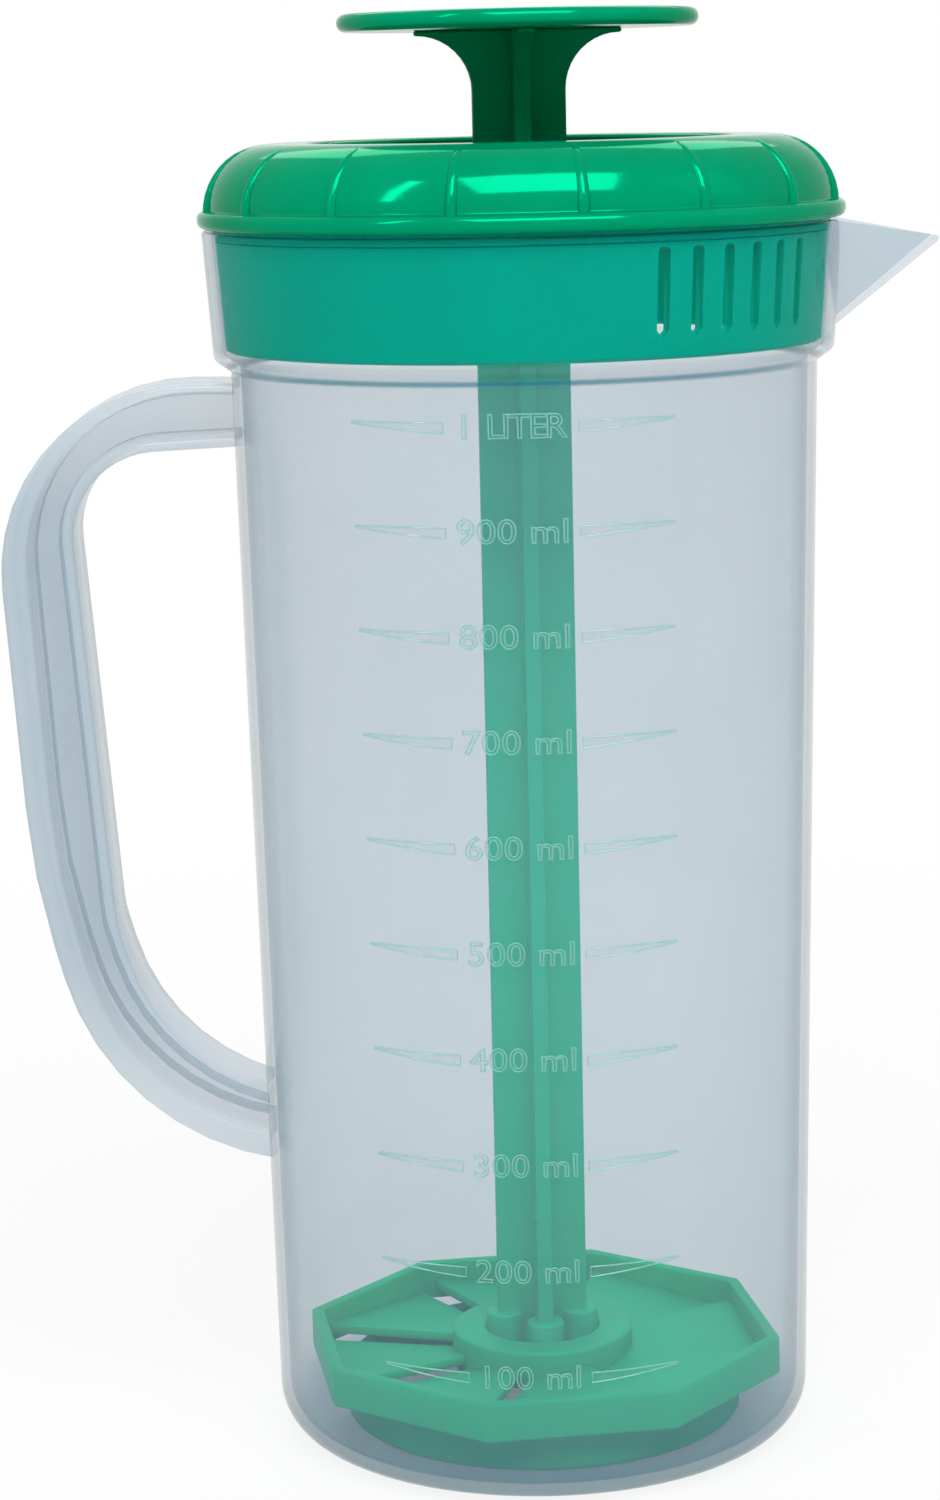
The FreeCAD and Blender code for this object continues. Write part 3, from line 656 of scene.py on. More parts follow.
def mix_colours(graph: Graph, share: object, a: object, b: object) -> Socket:
    """Mixes two colours, each a triple or a socket.

    Args:
        graph: The material's graph.
        share: The second colour's share.
        a: The first colour.
        b: The second colour.

    Returns:
        The mixed colour.
    """
    a, b = (each if isinstance(each, Socket) else (*each, 1.0) for each in (a, b))
    return graph.out("Mix", {"Factor": share, "A": a, "B": b}, data_type="RGBA")


@dataclass(frozen=True)
class GlossyPlastic:
    """Opaque moulded plastic, whose coloured shine fades where the surface turns away."""

    name: str
    colour: Triple
    shade: Triple
    roughness: float
    shine: float = 0.25
    glow: float = 0.0
    pebble: float = 120.0
    fade_start: float = 0.58
    fade_end: float = 0.86

    def colour_at(self, graph: Graph, spot: Socket, own: Socket) -> Socket:
        """The colour at a place on the piece: the plastic's own everywhere."""
        return own

    def build(self) -> Material:
        """Makes the material.

        Returns:
            The node based material.
        """
        material, graph = blank_material(self.name)
        spot, cloud, normal = surface_marks(graph, self.pebble)
        own = mix_colours(graph, graph.spread(cloud, 0.3, 0.7), self.shade, self.colour)
        rough = graph.spread(cloud, 0.25, 0.75, self.roughness * 0.8, self.roughness * 1.3)
        turned = graph.node("LayerWeight", {"Blend": 0.5}).outputs["Facing"]
        shine = graph.spread(turned, self.fade_start, self.fade_end, self.shine,
                             self.shine * 0.1)
        skin = graph.out("BsdfPrincipled", {
            "Base Color": self.colour_at(graph, spot, own), "Roughness": rough,
            "Normal": normal, "Metallic": shine, "Specular IOR Level": 0.03,
            "Specular Tint": EDGE_SHINE, "Subsurface Weight": self.glow,
            "Subsurface Radius": (0.2, 1.0, 0.8), "Subsurface Scale": 0.004})
        graph.node("OutputMaterial", {"Surface": skin})
        return material


@dataclass(frozen=True)
class CollarPlastic(GlossyPlastic):
    """The collar's plastic, with painted light: brighter on its inner side and inside the slots."""

    # painted light: the brighter colour inside the collar's outer skin and in the slots
    bright: Triple = (0.001, 0.62, 0.46)
    skin_radius: float = 0.0476
    change: float = 0.0006

    def colour_at(self, graph: Graph, spot: Socket, own: Socket) -> Socket:
        """The colour at a place on the piece.

        Args:
            graph: The material's graph.
            spot: The place.
            own: The outer skin's colour.

        Returns:
            The painted light colour up to the outer skin, and the own one there.
        """
        flat = graph.out("VectorMath", {0: spot, 1: (1.0, 1.0, 0.0)}, operation="MULTIPLY")
        away = graph.out("VectorMath", {0: flat}, operation="LENGTH")
        share = graph.spread(away, self.skin_radius - self.change, self.skin_radius)
        return mix_colours(graph, share, self.bright, own)


@dataclass(frozen=True)
class ShaftPlastic(GlossyPlastic):
    """The shaft's plastic, with painted light and shade: paler inside the jug, and darker above the
    lid, where the knob shades it.
    """

    # painted light: the paler colour that the shaft gets inside the jug
    pale: Triple = (0.002, 0.66, 0.31)
    change_start: float = 0.182
    change_end: float = 0.212

    def colour_at(self, graph: Graph, spot: Socket, own: Socket) -> Socket:
        """The colour at a place on the piece.

        Args:
            graph: The material's graph.
            spot: The place.
            own: The colour above the lid, a painted shade.

        Returns:
            The painted light colour low down, and the painted shade colour above the lid.
        """
        height = graph.node("SeparateXYZ", {0: spot}).outputs["Z"]
        share = graph.spread(height, self.change_start, self.change_end)
        return mix_colours(graph, share, self.pale, own)


@dataclass(frozen=True)
class MilkyPlastic:
    """Clear plastic with a milky veil, which grows where the surface turns away."""

    name: str
    tint: Triple
    veil: float
    edge_veil: float
    roughness: float = 0.14
    edge_power: float = 3.0

    def veil_at(self, graph: Graph, height: Socket, turned: Socket) -> tuple[Socket, object]:
        """How much milk there is, from 0 to 1.

        Args:
            graph: The material's graph.
            height: The height on the pitcher in metres.
            turned: How far the surface is turned away, from 0 to 1.

        Returns:
            The veil that the clouds change, and the even veil on top of it.
        """
        edge = graph.sum("MULTIPLY", graph.sum("POWER", turned, self.edge_power),
                         self.edge_veil)
        return graph.sum("ADD", edge, self.veil), 0.0

    def tint_at(self, graph: Graph, height: Socket, turned: Socket) -> object:
        """The milk's colour: the same everywhere."""
        return (*self.tint, 1.0)

    def build(self) -> Material:
        """Makes the material.

        Returns:
            The node based material, which shows what is behind it.
        """
        material, graph = blank_material(self.name)
        spot, cloud, normal = surface_marks(graph, 140.0)
        height = graph.node("SeparateXYZ", {0: spot}).outputs["Z"]
        turned = graph.node("LayerWeight", {"Blend": 0.5}).outputs["Facing"]
        cloudy, even = self.veil_at(graph, height, turned)
        cloudy = graph.sum("MULTIPLY", cloudy, graph.spread(cloud, 0.2, 0.8, 0.94, 1.06))
        veil = graph.out("Math", {0: cloudy, 1: even}, operation="ADD", use_clamp=True)
        shine = graph.spread(cloud, 0.25, 0.75, self.roughness * 0.8, self.roughness * 1.25)
        milk = graph.out("BsdfPrincipled", {
            "Base Color": self.tint_at(graph, height, turned), "Roughness": shine,
            "Normal": normal, "Specular IOR Level": 0.8})
        clear = graph.out("BsdfTransparent", {"Color": WHITE})
        skin = graph.out("MixShader", {0: veil, 1: clear, 2: milk})
        graph.node("OutputMaterial", {"Surface": skin})
        return material


@dataclass(frozen=True)
class HandlePlastic(MilkyPlastic):
    """The handle's plastic, with more veil along the grip than in its two arms."""

    grip_low: float = 0.07
    grip_low_fade: float = 0.012
    grip_high: float = 0.163
    grip_high_fade: float = 0.008
    grip_share: float = 1.5

    def veil_at(self, graph: Graph, height: Socket, turned: Socket) -> tuple[Socket, object]:
        """How much milk there is, from 0 to 1.

        Args:
            graph: The material's graph.
            height: The height on the pitcher in metres.
            turned: How far the surface is turned away, from 0 to 1.

        Returns:
            The veil that the clouds change, and the even veil on top of it.
        """
        veil, even = super().veil_at(graph, height, turned)
        over = graph.spread(height, self.grip_low - self.grip_low_fade,
                            self.grip_low + self.grip_low_fade)
        under = graph.spread(height, self.grip_high - self.grip_high_fade,
                             self.grip_high + self.grip_high_fade, 1.0, 0.0)
        grip = graph.spread(graph.sum("MULTIPLY", over, under), 0.0, 1.0, 1.0, self.grip_share)
        return graph.sum("MULTIPLY", veil, grip), even


@dataclass(frozen=True)
class WallPlastic(MilkyPlastic):
    """The jug's plastic.

    The neck, which starts a little above the step, has its own veil. The thick plastic
    of the step and the foot, and the brim seen edge on, show more of their own colour.
    """

    thick_tint: Triple = (0.01, 0.28, 0.38)
    thick_veil: float = 0.4
    brim_tint: Triple = (0.15, 0.29, 0.37)
    brim_veil: float = 0.14
    neck_tint: Triple = (0.003, 0.36, 0.36)
    neck_veil: float = 0.025
    neck_edge_veil: float = 0.78
    step_height: float = 0.1778
    step_half: float = 0.0002
    step_fade: float = 0.0004
    neck_start: float = 0.1801
    neck_full: float = 0.1815
    foot_height: float = 0.009
    foot_power: float = 1.6

    def above(self, graph: Graph, height: Socket) -> Socket:
        """How far a height belongs to the neck, from 0 to 1."""
        return graph.spread(height, self.neck_start, self.neck_full)

    def thick(self, graph: Graph, height: Socket) -> Socket:
        """How thick the plastic is at a height.

        Args:
            graph: The material's graph.
            height: The height on the pitcher in metres.

        Returns:
            1 at the step and at the foot's edge, and 0 elsewhere.
        """
        off_step = graph.sum("ABSOLUTE", graph.sum("SUBTRACT", height, self.step_height))
        step = graph.spread(off_step, self.step_half, self.step_half + self.step_fade, 1.0, 0.0)
        foot = graph.spread(height, 0.0, self.foot_height, 1.0, 0.0)
        return graph.sum("MAXIMUM", step, graph.sum("POWER", foot, self.foot_power))

    def brims(self, graph: Graph, turned: Socket) -> tuple[Socket, Socket]:
        """How far the surface is seen edge on, from 0 to 1.

        Args:
            graph: The material's graph.
            turned: How far the surface is turned away, from 0 to 1.

        Returns:
            The share on the body, and on the neck, whose far side has a thinner brim.
        """
        behind = graph.node("NewGeometry").outputs["Backfacing"]
        neck = graph.spread(turned, graph.spread(behind, 0.0, 1.0, 0.70, 0.84),
                            graph.spread(behind, 0.0, 1.0, 0.73, 0.87))
        return graph.spread(turned, 0.66, 0.82), neck

    def veil_at(self, graph: Graph, height: Socket, turned: Socket) -> tuple[Socket, object]:
        """How much milk there is, from 0 to 1.

        Args:
            graph: The material's graph.
            height: The height on the pitcher in metres.
            turned: How far the surface is turned away, from 0 to 1.

        Returns:
            The veil that the clouds change, and the even veil on top of it.
        """
        body_brim, neck_brim = self.brims(graph, turned)
        body = graph.sum("ADD", super().veil_at(graph, height, turned)[0],
                         graph.sum("MULTIPLY", body_brim, self.brim_veil))
        neck = graph.sum("ADD", graph.sum("MULTIPLY", neck_brim, self.neck_edge_veil),
                         self.neck_veil)
        veil = graph.out("Mix", {"Factor": self.above(graph, height), "A": body, "B": neck})
        return veil, graph.sum("MULTIPLY", self.thick(graph, height), self.thick_veil)

    def tint_at(self, graph: Graph, height: Socket, turned: Socket) -> object:
        """The milk's colour.

        Args:
            graph: The material's graph.
            height: The height on the pitcher in metres.
            turned: How far the surface is turned away, from 0 to 1.

        Returns:
            The colour, which changes with the neck, the thick parts and the brim.
        """
        above = self.above(graph, height)
        body_brim, neck_brim = self.brims(graph, turned)
        edge = graph.out("Mix", {"Factor": above, "A": body_brim, "B": neck_brim})
        tint = mix_colours(graph, above, self.tint, self.neck_tint)
        tint = mix_colours(graph, self.thick(graph, height), tint, self.thick_tint)
        return mix_colours(graph, edge, tint, self.brim_tint)


class Finishes:
    """Every finish of the pitcher."""

    def __init__(self) -> None:
        """Builds the materials."""
        # the raised numbers are the wall's plastic, tinted paler and greener than its milk: a
        # painted highlight on their edges
        milk, milk_with_painted_highlight = (0.24, 0.45, 0.60), (0.32, 0.76, 0.66)
        self.wall = WallPlastic("milky_wall", milk, 0.18, 0.22).build()
        self.spout = MilkyPlastic("milky_spout", milk, 0.19, 0.25).build()
        self.handle = HandlePlastic("milky_handle", (0.27, 0.44, 0.55), 0.31, 0.05).build()
        # the raised scale's tint is also paler and greener than the wall's milk: a painted
        # highlight on its edges
        self.scale = MilkyPlastic("raised_scale", (0.30, 0.66, 0.60), 0.04, 0.3, 0.1).build()
        self.numbers = MilkyPlastic("raised_numbers", milk_with_painted_highlight, 0.44, 0.7, 0.1).build()
        green, dark = (0.0003, 0.36, 0.165), (0.0003, 0.30, 0.135)
        teal, dark_teal = (0.0003, 0.40, 0.29), (0.0003, 0.36, 0.26)
        self.lid = GlossyPlastic("lid_green", green, dark, 0.1, 0.3).build()
        # the collar's inner side and slots get a painted light colour
        self.collar = CollarPlastic("collar_teal", (0.0003, 0.44, 0.32), teal, 0.3, 0.05,
                                    0.6).build()
        self.seal = GlossyPlastic("seal_green", teal, dark_teal, 0.5, 0.05, 0.5, 900.0).build()
        self.bush = GlossyPlastic("bush_green", green, dark, 0.25).build()
        self.knob = GlossyPlastic("knob_green", green, dark, 0.12).build()
        # painted shade: the shaft's colour above the lid is darker than the lid's green;
        # ShaftPlastic paints it paler inside the jug as painted light
        self.shaft = ShaftPlastic("shaft_green", (0.0003, 0.25, 0.11), (0.0003, 0.21, 0.09),
                                  0.3, 0.12).build()
        self.disc = GlossyPlastic("disc_green", (0.001, 0.64, 0.26), (0.001, 0.57, 0.23),
                                  0.35, 0.05, 0.5).build()


# Sub-assemblies


@dataclass
class Jug:
    """The see-through jug with its spout, handle and raised scale."""

    finishes: Finishes
    base_radius: float = 44.07
    shoulder_radius: float = 47.05
    shoulder_height: float = 177.6
    neck_bottom: float = 179.4
    neck_radius: float = 49.74
    rim_radius: float = 51.08
    rim_height: float = 199.8
    rim_round: float = 0.5
    wall: float = 1.5
    floor: float = 2.0
    base_round: float = 8.0
    neck_round: float = 1.4
    step_rise: float = 0.825
    spout_half_width: float = 15.5
    spout_keel: float = 180.0
    spout_reach: float = 66.7
    spout_lip_height: float = 196.4
    spout_wall: float = 1.7
    spout_run_in: float = 6.0
    lip_wall: float = 1.36
    handle_root: float = -38.0
    handle_depth: float = 17.0
    handle_web: float = 3.2
    first_mark: float = 22.0
    top_mark: float = 171.4
    pitch_loss: float = 0.2
    mark_count: int = 10
    mark_near: float = 9.6
    mark_far: float = 23.9
    mark_half_height: float = 0.8
    mark_taper: float = 1.35
    mark_taper_power: float = 1.2
    mark_sunk: float = 0.2
    mark_proud: float = 0.25
    line_proud: float = 0.2
    line_radius: float = 0.12
    scale_turn: float = -3.6
    letter_height: float = 3.75
    letter_capital: float = 0.72
    letter_line: float = 0.13
    letter_proud: float = 0.08

    @property
    def spout_root(self) -> float:
        """Where the spout's section is as wide as the neck lets it be."""
        return math.sqrt(self.rim_radius ** 2 - self.spout_half_width ** 2) - 0.2

    @property
    def cone_slope(self) -> float:
        """How much the body's radius grows with each millimetre of height."""
        return (self.shoulder_radius - self.base_radius) / self.shoulder_height

    @property
    def mark_pitch(self) -> float:
        """The distance from the lowest mark to the next."""
        gaps = self.mark_count - 1
        return (self.top_mark - self.first_mark) / gaps + self.pitch_loss * (gaps - 1) / 2

    def mark_height(self, number: int) -> float:
        """The height of a mark, counted from 0 at the lowest."""
        return (self.first_mark + number * self.mark_pitch
                - self.pitch_loss * number * (number - 1) / 2)

    def vee_wedge(self, name: str, near: Triple, far: Triple, start: float, end: float,
                  keel_round: float) -> Piece:
        """Spans a V section between two stations along +X.

        Args:
            name: The piece's name.
            near: Half width, top and keel height at the start.
            far: The same at the end.
            start: The first station.
            end: The last station.
            keel_round: The rounding of the keel at the start.

        Returns:
            A closed wedge.
        """
        return loft(name, [
            [(station, y, z) for y, z in rounded([(-half, top), (0, keel, blunt), (half, top)])]
            for station, (half, top, keel), blunt in (
                (start, near, keel_round), (end, far, keel_round * 0.1))])

    def channel(self) -> Piece:
        """Makes the space inside the spout, which also opens the neck's wall.

        Returns:
            The cutting mesh.
        """
        near = (self.spout_half_width - self.spout_wall, self.rim_height + 1,
                self.spout_keel + self.spout_wall)
        far = (0.4, self.spout_lip_height + 1, self.spout_lip_height - 0.25)
        outer = self.vee_wedge("channel", near, far, self.spout_root,
                               self.spout_reach - self.lip_wall, 1.2)
        inner = self.vee_wedge("channel_inner", near, near, self.spout_root - self.spout_run_in,
                               self.spout_root + 0.01, 1.2)
        return carve(outer, inner, "UNION")

    def make_wall(self) -> None:
        """The turned body with its stepped neck and the V opening to the spout."""
        piece = lathe("jug_wall", [
            (0, 0), (self.base_radius, 0, self.base_round),
            (self.shoulder_radius, self.shoulder_height, 0.9),
            (self.neck_radius, self.neck_bottom, self.neck_round),
            (self.rim_radius, self.rim_height, self.rim_round),
            (self.rim_radius - self.wall, self.rim_height, self.rim_round),
            (self.neck_radius - self.wall, self.neck_bottom + self.step_rise, 0.6),
            (self.shoulder_radius - self.wall, self.shoulder_height + self.step_rise, 0.8),
            (self.base_radius - self.wall, self.floor, self.base_round - self.wall),
            (0, self.floor)], self.finishes.wall, closed=False)
        carve(piece, self.channel())
        place(piece, Body.JUG, Slot.MILKY, self.finishes.wall, "jug_body")

    def make_spout(self) -> None:
        """The thin V spout that stands out of the neck."""
        piece = self.vee_wedge(
            "spout_vee", (self.spout_half_width, self.rim_height, self.spout_keel),
            (0.8, self.spout_lip_height, self.spout_lip_height - 1.0),
            self.spout_root, self.spout_reach, 2.0)
        carve(piece, self.channel())
        lean = (self.rim_radius - self.neck_radius) / (self.rim_height - self.neck_bottom)
        carve(piece, lathe("neck_trim", [
            (0, self.neck_bottom - 1), (self.neck_radius - lean, self.neck_bottom - 1),
            (self.rim_radius + lean, self.rim_height + 1), (0, self.rim_height + 1)],
            self.finishes.wall, closed=False))
        soften(piece, 0.28, 2, 40.0)
        place(piece, Body.JUG, Slot.MILKY, self.finishes.spout, "pour_spout")

    def make_handle(self) -> None:
        """The H section handle: a flange all round a thin web."""
        root = self.handle_root
        outline = [
            (root, 175.6), (-86.65, 176.6, 30.5), (-81.6, 96.1, 120.0), (-70.17, 52.6, 43.0),
            (root, 47.1), (root, 57.3), (-61.4, 64.6, 34.5), (-68.15, 88.1, 20.0),
            (-73.81, 164.7, 13.9), (root, 166.1)]
        recess = [
            (root, 173.9), (-82.0, 174.8, 27.0), (-77.5, 96.3, 110.0), (-66.6, 56.6, 38.0),
            (root, 51.4), (root, 55.7), (-63.2, 63.0, 36.0), (-70.6, 88.1, 20.0),
            (-76.3, 166.4, 16.0), (root, 167.8)]
        piece = prism("handle_grip", outline, -self.handle_depth / 2, self.handle_depth / 2,
                      Depth.Y)
        for side in (-1, 1):
            carve(piece, prism("recess", recess, side * self.handle_web / 2,
                               side * self.handle_depth, Depth.Y))
        soften(piece, 0.7, 3, 40.0)
        top_radius = self.base_radius + self.cone_slope * self.rim_height
        carve(piece, lathe("jug_inside", [
            (0, 0), (self.base_radius, 0), (top_radius, self.rim_height),
            (0, self.rim_height)], self.finishes.wall, closed=False))
        place(piece, Body.JUG, Slot.MILKY, self.finishes.handle, "jug_handle")

    def make_marks(self) -> None:
        """The raised tapered mark on each side of a number, and the line round it."""
        steps = 14
        low, high = [], []
        for step in range(steps + 1):
            share = step / steps
            along = self.mark_near + (self.mark_far - self.mark_near) * share
            rise = self.mark_taper * share ** self.mark_taper_power
            low.append((along, rise - self.mark_half_height))
            high.append((along, self.mark_half_height))
        inner, outer = self.mark_sunk, -self.mark_proud
        wedge = loft("scale_wedges", [
            [(x, inner, a), (x, inner, b), (x, outer, b), (x, outer, a)]
            for (x, a), (_, b) in zip(low, high)], matched=True)
        rim = low + high[::-1]
        line = new_piece("scale_lines", [(x, -self.line_proud, z) for x, z in rim],
                         [(i, (i + 1) % len(rim)) for i in range(len(rim))])
        for piece, finish, radius, nodes in (
                (wedge, self.finishes.scale, 0.0, ["scale_marks"]),
                (line, self.finishes.numbers, self.line_radius, [])):
            grow(piece, scale_tree, finish, Count=self.mark_count, First=self.first_mark * MM,
                 Pitch=self.mark_pitch * MM, Pitch_loss=self.pitch_loss * MM,
                 Cone_foot=self.base_radius * MM, Cone_slope=self.cone_slope,
                 Line_radius=radius * MM)
            turn_about_axis(piece, self.scale_turn)
            place(piece, Body.JUG, Slot.MILKY, finish, *nodes)

    def make_letters(self) -> None:
        """The raised volume scale, each letter a raised outline on the wall."""
        rows = [(f"{100 * (number + 1)} ml", 1.04, 1.0, 1.09)
                for number in range(self.mark_count - 1)]
        rows.append(("1 LITER", 0.87, 1.7, 1.0))
        made = []
        for number, (text, spacing, gap, stretch) in enumerate(rows):
            curve = bpy.data.curves.new(f"number_{number}", "FONT")
            curve.body = text
            curve.size = self.letter_height / self.letter_capital * MM
            curve.align_x = curve.align_y = "CENTER"
            curve.fill_mode = "NONE"
            curve.bevel_depth = self.letter_line * MM
            curve.bevel_resolution = 1
            curve.resolution_u = 4
            curve.space_character = spacing
            curve.space_word = gap
            words = settle(stand(curve.name, curve), math.radians(80))
            for vertex in words.data.vertices:
                x, y, proud = vertex.co / MM
                height = self.mark_height(number) + y
                radius = self.base_radius + self.cone_slope * height + proud + self.letter_proud
                angle = x * stretch / self.base_radius
                vertex.co = Vector((radius * math.sin(angle), -radius * math.cos(angle),
                                    height)) * MM
            made.append(words)
        piece = turn_about_axis(join("scale_numbers", made), self.scale_turn)
        place(piece, Body.JUG, Slot.MILKY, self.finishes.numbers)

    def build(self) -> None:
        """Makes every piece of the jug."""
        self.make_wall()
        self.make_spout()
        self.make_handle()
        self.make_marks()
        self.make_letters()


@dataclass
class Lid:
    """The ribbed cap, its strainer collar, the seal and the plunger's guide bush."""

    finishes: Finishes
    flange_radius: float = 51.75
    flange_bottom: float = 200.1
    flange_top: float = 202.95
    bead_round: float = 1.28
    dome_radius: float = 50.2
    dome_top: float = 213.2
    dome_round: float = 10.0
    wall: float = 1.8
    land_radius: float = 33.5
    deck_top: float = 205.0
    deck_slope: float = 2.0
    deck_round: float = 1.26
    boss_radius: float = 12.4
    bore_radius: float = 10.3
    boss_top: float = 208.6
    boss_bottom: float = 196.0
    rib_count: int = 16
    rib_start: float = 9.7
    rib_half_width: float = 0.95
    rib_sunk: float = 0.15
    collar_bottom: float = 180.7
    collar_wall: float = 2.0
    collar_rise: float = 3.0
    cone_low: float = 180.225
    cone_high: float = 199.8
    cone_low_radius: float = 47.89
    cone_lean: float = 1.34
    groove_bottom: float = 198.2
    groove_top: float = 199.6
    groove_depth: float = 1.1
    slot_count: int = 6
    slot_start: float = -65.3
    slot_pitch: float = 7.0
    slot_half_width: float = 1.05
    slot_bottom: float = 184.0
    slot_top: float = 197.6

    def make_cap(self) -> None:
        """The domed cap with its recessed deck and the boss for the bush."""
        inner = self.dome_radius - self.wall
        deck, under = self.land_radius - self.deck_slope, self.deck_top - self.wall
        piece = lathe("lid_dome", [
            (inner, self.flange_bottom, 0.3),
            (self.flange_radius, self.flange_bottom, self.bead_round),
            (self.flange_radius, self.flange_top, self.bead_round),
            (self.dome_radius, self.flange_top, 0.4),
            (self.dome_radius, self.dome_top, self.dome_round),
            (self.land_radius, self.dome_top, self.deck_round),
            (deck, self.deck_top, self.deck_round),
            (self.boss_radius, self.deck_top, 0.6), (self.boss_radius, self.boss_top, 0.4),
            (self.bore_radius, self.boss_top, 0.3), (self.bore_radius, self.boss_bottom, 0.3),
            (self.boss_radius, self.boss_bottom, 0.4), (self.boss_radius, under, 0.6),
            (deck + self.wall, under),
            (self.land_radius + self.wall, self.dome_top - self.wall),
            (inner, self.dome_top - self.wall, self.dome_round - self.wall)],
            self.finishes.lid)
        place(piece, Body.LID, Slot.LID, self.finishes.lid, "lid_cap")

    def make_ribs(self) -> None:
        """The low ribs that run up over the dome's shoulder."""
        radius, top = self.dome_radius - self.rib_sunk, self.dome_top - self.rib_sunk
        piece = path_piece("lid_ribs", rounded([
            (radius, self.flange_top - 0.5), (radius, top, self.dome_round - self.rib_sunk),
            (self.land_radius + 4.2, top - 0.75)], closed=False))
        grow(piece, rib_tree, self.finishes.lid, Count=self.rib_count, Start=self.rib_start,
             Step=360.0 / self.rib_count, Half_width=self.rib_half_width * MM, Tip_share=0.45)
        place(piece, Body.LID, Slot.LID, self.finishes.lid)

    def make_collar(self) -> None:
        """The strainer collar with its row of pointed slots."""
        def skin(height: float, inwards: float = 0.0) -> Spot:
            """A place at a height, inwards from the collar's outer side."""
            share = (height - self.cone_low) / (self.cone_high - self.cone_low)
            return self.cone_low_radius + self.cone_lean * share - inwards, height

        spigot, head = self.dome_radius - self.wall, self.flange_bottom + self.collar_rise
        piece = lathe("strainer_wall", [
            (*skin(self.collar_bottom, self.collar_wall), 0.4), (*skin(self.collar_bottom), 0.9),
            skin(self.groove_bottom), skin(self.groove_bottom, self.groove_depth),
            skin(self.groove_top, self.groove_depth), skin(self.groove_top),
            skin(self.flange_bottom), (spigot, self.flange_bottom), (spigot, head, 0.4),
            (spigot - self.collar_wall, head, 0.4),
            skin(self.groove_bottom, self.collar_wall)], self.finishes.collar)
        half, tip = self.slot_half_width, self.slot_bottom
        cutter = prism("slot_cutter", [
            (-half, tip + half, 0.3), (0, tip, 0.2), (half, tip + half, 0.3),
            (half, self.slot_top, 0.84), (-half, self.slot_top, 0.84)],
            self.dome_radius - 8.2, self.dome_radius + 4.8, Depth.X)
        grow(piece, slot_tree, self.finishes.collar, Cutter=cutter, Count=self.slot_count,
             Start=self.slot_start, Step=self.slot_pitch)
        bpy.data.objects.remove(cutter)
        place(piece, Body.LID, Slot.LID, self.finishes.collar, "strainer_collar")

    def dress_small_parts(self) -> None:
        """Gives the seal ring and the guide bush their finishes."""
        for name, finish in (("seal_ring", self.finishes.seal), ("guide_bush", self.finishes.bush)):
            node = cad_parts[name]
            node.data.materials.clear()
            node.data.materials.append(finish)
            LOG.info("%s: CAD node dressed", name)

    def build(self) -> None:
        """Makes every piece of the lid."""
        self.make_cap()
        self.make_ribs()
        self.make_collar()
        self.dress_small_parts()


